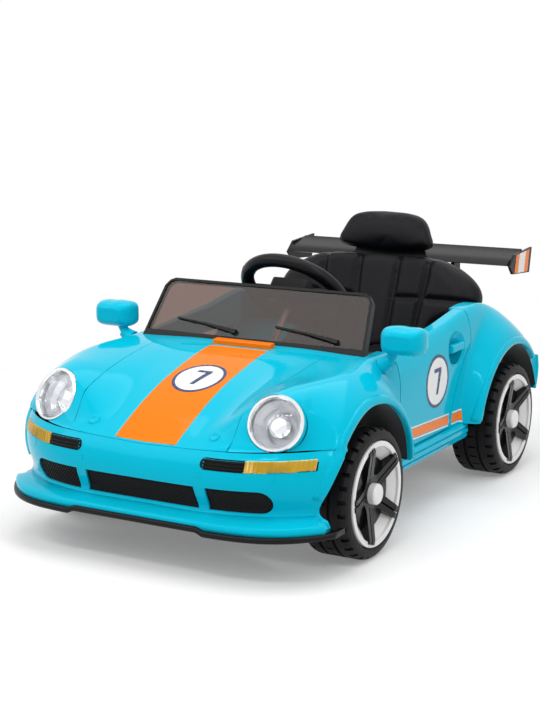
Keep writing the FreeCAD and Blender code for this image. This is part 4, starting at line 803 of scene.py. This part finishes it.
def in_grille(x, z):
    """True inside one of the three bumper openings."""
    mid = (GRILLE_LOW + GRILLE_HIGH) / 2
    r = (GRILLE_HIGH - GRILLE_LOW) / 2 - GRILLE_EDGE
    if abs(z - mid) > r:
        return False
    if abs(x) < GRILLE_CENTRE_X - GRILLE_EDGE:
        return True
    if abs(x) < SIDE_GRILLE_IN + GRILLE_EDGE:
        return False
    return abs(x) < SIDE_GRILLE_OUT - GRILLE_EDGE - r + math.sqrt(max(r * r - (z - mid) ** 2, 0.0))


def grille_mesh():
    """Crossed wires on the black plates behind the bumper openings."""
    target = surface("bumper_grilles")
    patch = Patch()
    reach = SIDE_GRILLE_OUT + 0.05
    count = int(2 * reach / MESH_PITCH)
    for lean in SIDES:
        for k in range(count + 1):
            run = []
            for i in range(int((GRILLE_HIGH - GRILLE_LOW) / WIRE_STEP) + 1):
                z = GRILLE_LOW + i * WIRE_STEP
                x = -reach + k * MESH_PITCH + lean * (z - GRILLE_LOW)
                if in_grille(x, z):
                    run.append(on_front(target, x, z, WIRE_HALF))
                if (not in_grille(x, z) or z + WIRE_STEP > GRILLE_HIGH) and run:
                    if len(run) > 1:
                        patch.bar(run, WIRE_HALF, WIRE_HALF_HIGH)
                    run = []
    return piece("grille_mesh", patch.verts, patch.faces, TRIM, smooth=False)


def stripe_ledge():
    """Raised end of the orange stripe at the foot of the windscreen."""
    target = surface("cowl_panel")
    patch = Patch()
    rows = []
    for x in spread(-LEDGE_X, LEDGE_X, 15):
        low = on_top(target, x, LEDGE_Y - LEDGE_DEEP, 0.0)
        back = on_top(target, x, LEDGE_Y, 0.0)
        up = Vector((0, 0, LEDGE_HIGH))
        ease = Vector((0, 0.0025, -0.0006))
        rows.append([low, low + up * 0.82, low + up + ease, back + up * 0.9, back])
    patch.grid(rows)
    last = len(patch.verts) - 5
    patch.faces.append(tuple(range(5)))
    patch.faces.append(tuple(last + i for i in reversed(range(5))))
    return piece("stripe_ledge", patch.verts, patch.faces, STRIPE, smooth=False)


def grip_seams():
    """Thin raised seams round the steering wheel's rim."""
    axis = Vector((0.0, math.sqrt(0.5), math.sqrt(0.5)))
    across = Vector((1.0, 0.0, 0.0))
    up = axis.cross(across)
    patch = Patch()
    for angle in GRIP_ANGLES:
        t = math.radians(angle)
        out = across * math.cos(t) + up * math.sin(t)
        patch.lathe(GRIP_RING, standing(STEER_CENTRE + out * STEER_R, axis.cross(out)), 32)
    return piece("grip_seams", patch.verts, patch.faces, HIDE, "steering")


# Soft seat


def copy_solid(node, name):
    """A new object with a welded copy of a solid's mesh."""
    mesh = NODES[node].data.copy()
    bm = bmesh.new()
    bm.from_mesh(mesh)
    bmesh.ops.remove_doubles(bm, verts=bm.verts, dist=1e-5)
    bm.to_mesh(mesh)
    bm.free()
    mesh.materials.clear()
    mesh.materials.append(HIDE)
    obj = bpy.data.objects.new(name, mesh)
    bpy.context.scene.collection.objects.link(obj)
    return obj


def settle(obj):
    """Apply an object's modifiers to its mesh."""
    bpy.context.view_layer.update()
    graph = bpy.context.evaluated_depsgraph_get()
    mesh = bpy.data.meshes.new_from_object(obj.evaluated_get(graph))
    obj.modifiers.clear()
    obj.data = mesh


def shrink(obj, depth):
    """Move every point inwards along its normal."""
    normals = [v.normal.copy() for v in obj.data.vertices]
    for v, n in zip(obj.data.vertices, normals):
        v.co -= n * depth


def inflate(obj):
    """Swell the pad with a cloth simulation, capped so that it keeps its place."""
    rest = [v.co.copy() for v in obj.data.vertices]
    cloth = obj.modifiers.new("swell", "CLOTH")
    cloth.settings.use_pressure = True
    cloth.settings.uniform_pressure_force = SWELL_PRESSURE
    cloth.settings.effector_weights.gravity = 0.0
    cloth.settings.tension_stiffness = SWELL_STIFFNESS
    cloth.settings.compression_stiffness = SWELL_STIFFNESS
    cloth.settings.bending_stiffness = SWELL_BENDING
    cloth.settings.quality = 4
    cloth.point_cache.frame_start = 1
    cloth.point_cache.frame_end = SWELL_FRAMES
    for i in range(1, SWELL_FRAMES + 1):
        bpy.context.scene.frame_set(i)
    settle(obj)
    bpy.context.scene.frame_set(1)
    for v, was in zip(obj.data.vertices, rest):
        step = v.co - was
        if step.length > SWELL_CAP:
            v.co = was + step.normalized() * SWELL_CAP


def soft_pad(node, seams, front, widen):
    """Seat pad: widened, remeshed, swollen as cloth, then sewn along its seams."""
    obj = copy_solid(node, node + "_pad")
    for v in obj.data.vertices:
        v.co.x *= widen(v.co)
    remesh = obj.modifiers.new("even", "REMESH")
    remesh.mode = "VOXEL"
    remesh.voxel_size = VOXEL
    settle(obj)
    shrink(obj, PAD_SHRINK)
    inflate(obj)
    fine = obj.modifiers.new("fine", "SUBSURF")
    fine.levels = 1
    settle(obj)
    normals = [v.normal.copy() for v in obj.data.vertices]
    for v, normal in zip(obj.data.vertices, normals):
        facing = max(normal.dot(front), 0.0)
        depth = 0.0
        for across, width, deep in seams:
            depth = max(depth, deep * math.exp(-((across(v.co) / width) ** 2)))
        v.co -= normal * depth * min(facing * 1.6, 1.0)
    obj.data.polygons.foreach_set("use_smooth", [True] * len(obj.data.polygons))
    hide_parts(node)
    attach(obj, "chassis")
    return obj


def seat():
    """Cushion, backrest and headrest with their sewn channels."""
    def as_made(p):
        return 1.0

    def square_top(p):
        t = min(max(((p - BACK_MIDDLE).dot(BACK_UP) + 0.05) / 0.12, 0.0), 1.0)
        return BACK_WIDE + BACK_SPREAD * t * t * (3.0 - 2.0 * t)

    def wide_head(p):
        return HEAD_WIDE

    def upright(x0, widen):
        return lambda p: abs(p.x) / widen(p) - x0

    def level(h, inner, outer):
        def gap(p):
            outside = max(inner - abs(p.x), abs(p.x) - outer, 0.0)
            return abs((p - BACK_MIDDLE).dot(BACK_UP) - h) + outside
        return gap

    def crosswise(y):
        return lambda p: p.y - y

    def channels(widen):
        return [(upright(SEAM_IN_X, widen), *SEAM_IN), (upright(SEAM_OUT_X, widen), *SEAM_OUT)]

    belt = (level(BELT_HIGH, SEAM_IN_X, BELT_END_X), *BELT_SEAM)
    rim = (lambda p: (p - BACK_MIDDLE).dot(BACK_AHEAD) - HEAD_SEAM_AHEAD, *HEAD_SEAM)
    soft_pad("seat_backrest", channels(square_top) + [belt], BACK_AHEAD, square_top)
    cushion_seams = channels(as_made) + [(crosswise(CROSS_SEAM_Y), *CROSS_SEAM)]
    soft_pad("seat_cushion", cushion_seams, Vector((0, 0, 1)), as_made)
    soft_pad("headrest", [rim], Vector((0, 0, 1)), wide_head)


# Stage


def light(name, place, aim, size, power):
    """A soft square lamp."""
    data = bpy.data.lights.new(name, "AREA")
    data.shape = "RECTANGLE"
    data.size, data.size_y = size
    data.energy = power
    obj = bpy.data.objects.new(name, data)
    obj.location = place
    obj.rotation_euler = (Vector(aim) - Vector(place)).to_track_quat("-Z", "Y").to_euler()
    bpy.context.scene.collection.objects.link(obj)
    return obj


def white_to_eye(tree):
    """1 for rays that see the surface straight, in gloss or through glass, else 0."""
    path = tree.nodes.new("ShaderNodeLightPath")
    total = None
    for kind in ("Is Camera Ray", "Is Glossy Ray", "Is Transmission Ray"):
        if total is None:
            total = path.outputs[kind]
            continue
        add = tree.nodes.new("ShaderNodeMath")
        add.operation = "MAXIMUM"
        links(tree, (total, add.inputs[0]), (path.outputs[kind], add.inputs[1]))
        total = add.outputs[0]
    return total


def world():
    """White surroundings to the eye, and an even soft light on the car."""
    scene = bpy.context.scene
    scene.world = bpy.data.worlds.new("studio")
    scene.world.use_nodes = True
    tree = scene.world.node_tree
    back = tree.nodes["Background"]
    back.inputs["Color"].default_value = (1, 1, 1, 1)
    links(tree, (ranged(tree, white_to_eye(tree), 0.36, 1.0), back.inputs["Strength"]))


def floor():
    """Pale floor that keeps the car's shadow and is white to the eye elsewhere."""
    patch = Patch()
    ends = (-FLOOR_HALF, FLOOR_HALF)
    patch.grid([[Vector((x, y, FLOOR_Z)) for x in ends] for y in ends])
    mesh = bpy.data.meshes.new("floor")
    mesh.from_pydata([tuple(v) for v in patch.verts], [], patch.faces)
    obj = bpy.data.objects.new("floor", mesh)
    bpy.context.scene.collection.objects.link(obj)
    mat = bpy.data.materials.new("floor")
    mat.use_nodes = True
    tree = mat.node_tree
    shader = tree.nodes["Principled BSDF"]
    shader.inputs["Base Color"].default_value = (0.80, 0.80, 0.80, 1)
    shader.inputs["Roughness"].default_value = 0.8
    shader.inputs["Specular IOR Level"].default_value = 0.1
    glow = tree.nodes.new("ShaderNodeEmission")
    add = tree.nodes.new("ShaderNodeAddShader")
    clear = tree.nodes.new("ShaderNodeBsdfTransparent")
    mix = tree.nodes.new("ShaderNodeMixShader")
    place = tree.nodes.new("ShaderNodeTexCoord")
    far = tree.nodes.new("ShaderNodeVectorMath")
    far.operation = "LENGTH"
    fade = tree.nodes.new("ShaderNodeMapRange")
    fade.interpolation_type = "SMOOTHSTEP"
    fade.inputs["From Min"].default_value = FADE_START
    fade.inputs["From Max"].default_value = FADE_END
    links(
        tree,
        (ranged(tree, white_to_eye(tree), 0.0, 0.2), glow.inputs["Strength"]),
        (shader.outputs["BSDF"], add.inputs[0]),
        (glow.outputs["Emission"], add.inputs[1]),
        (place.outputs["Object"], far.inputs[0]),
        (far.outputs["Value"], fade.inputs["Value"]),
        (fade.outputs["Result"], mix.inputs["Fac"]),
        (add.outputs["Shader"], mix.inputs[1]),
        (clear.outputs["BSDF"], mix.inputs[2]),
        (mix.outputs["Shader"], tree.nodes["Material Output"].inputs["Surface"]),
    )
    mesh.materials.append(mat)


def camera():
    """The photograph's view."""
    data = bpy.data.cameras.new("camera")
    data.sensor_fit = "VERTICAL"
    data.sensor_height = SENSOR
    data.lens = CAMERA_LENS
    data.clip_end = 60.0
    obj = bpy.data.objects.new("camera", data)
    az = math.radians(CAMERA_AZIMUTH)
    el = math.radians(CAMERA_ELEVATION)
    back = Vector((math.sin(az) * math.cos(el), -math.cos(az) * math.cos(el), math.sin(el)))
    right = Vector((math.cos(az), math.sin(az), 0.0))
    turn = Matrix((right, back.cross(right), back)).transposed()
    roll = Matrix.Rotation(math.radians(CAMERA_ROLL), 3, "Z")
    obj.matrix_world = Matrix.Translation(CAMERA_POS) @ (turn @ roll).to_4x4()
    bpy.context.scene.collection.objects.link(obj)
    bpy.context.scene.camera = obj


def studio():
    """Camera, lamps, floor and surroundings."""
    bpy.context.scene.view_settings.view_transform = "Standard"
    camera()
    world()
    floor()
    light("key", (-1.8, -2.4, 2.7), (0, -0.1, 0.2), (3.4, 2.4), 58.0)
    light("top", (0.3, 0.3, 2.8), (0, 0, 0.2), (3.4, 2.8), 50.0)
    light("side", (2.9, -0.6, 1.5), (0, 0, 0.2), (2.0, 1.6), 13.0)
    light("strip", (0.5, -2.2, 2.6), (0, -0.3, 0.25), (1.2, 0.12), 15.0)
    light("strip_side", (2.4, -0.9, 2.2), (0.2, 0, 0.25), (0.12, 1.2), 11.0)


dress_solids()
seat()
door_stickers()
bonnet_stickers()
wing_stickers()
screw_caps()
dish_inserts()
arch_flares()
arch_painted_shade()
bumper_ends()
signal_lenses()
slot_vents()
front_lip()
bumper_skirt()
grille_mesh()
stripe_ledge()
grip_seams()
studio()
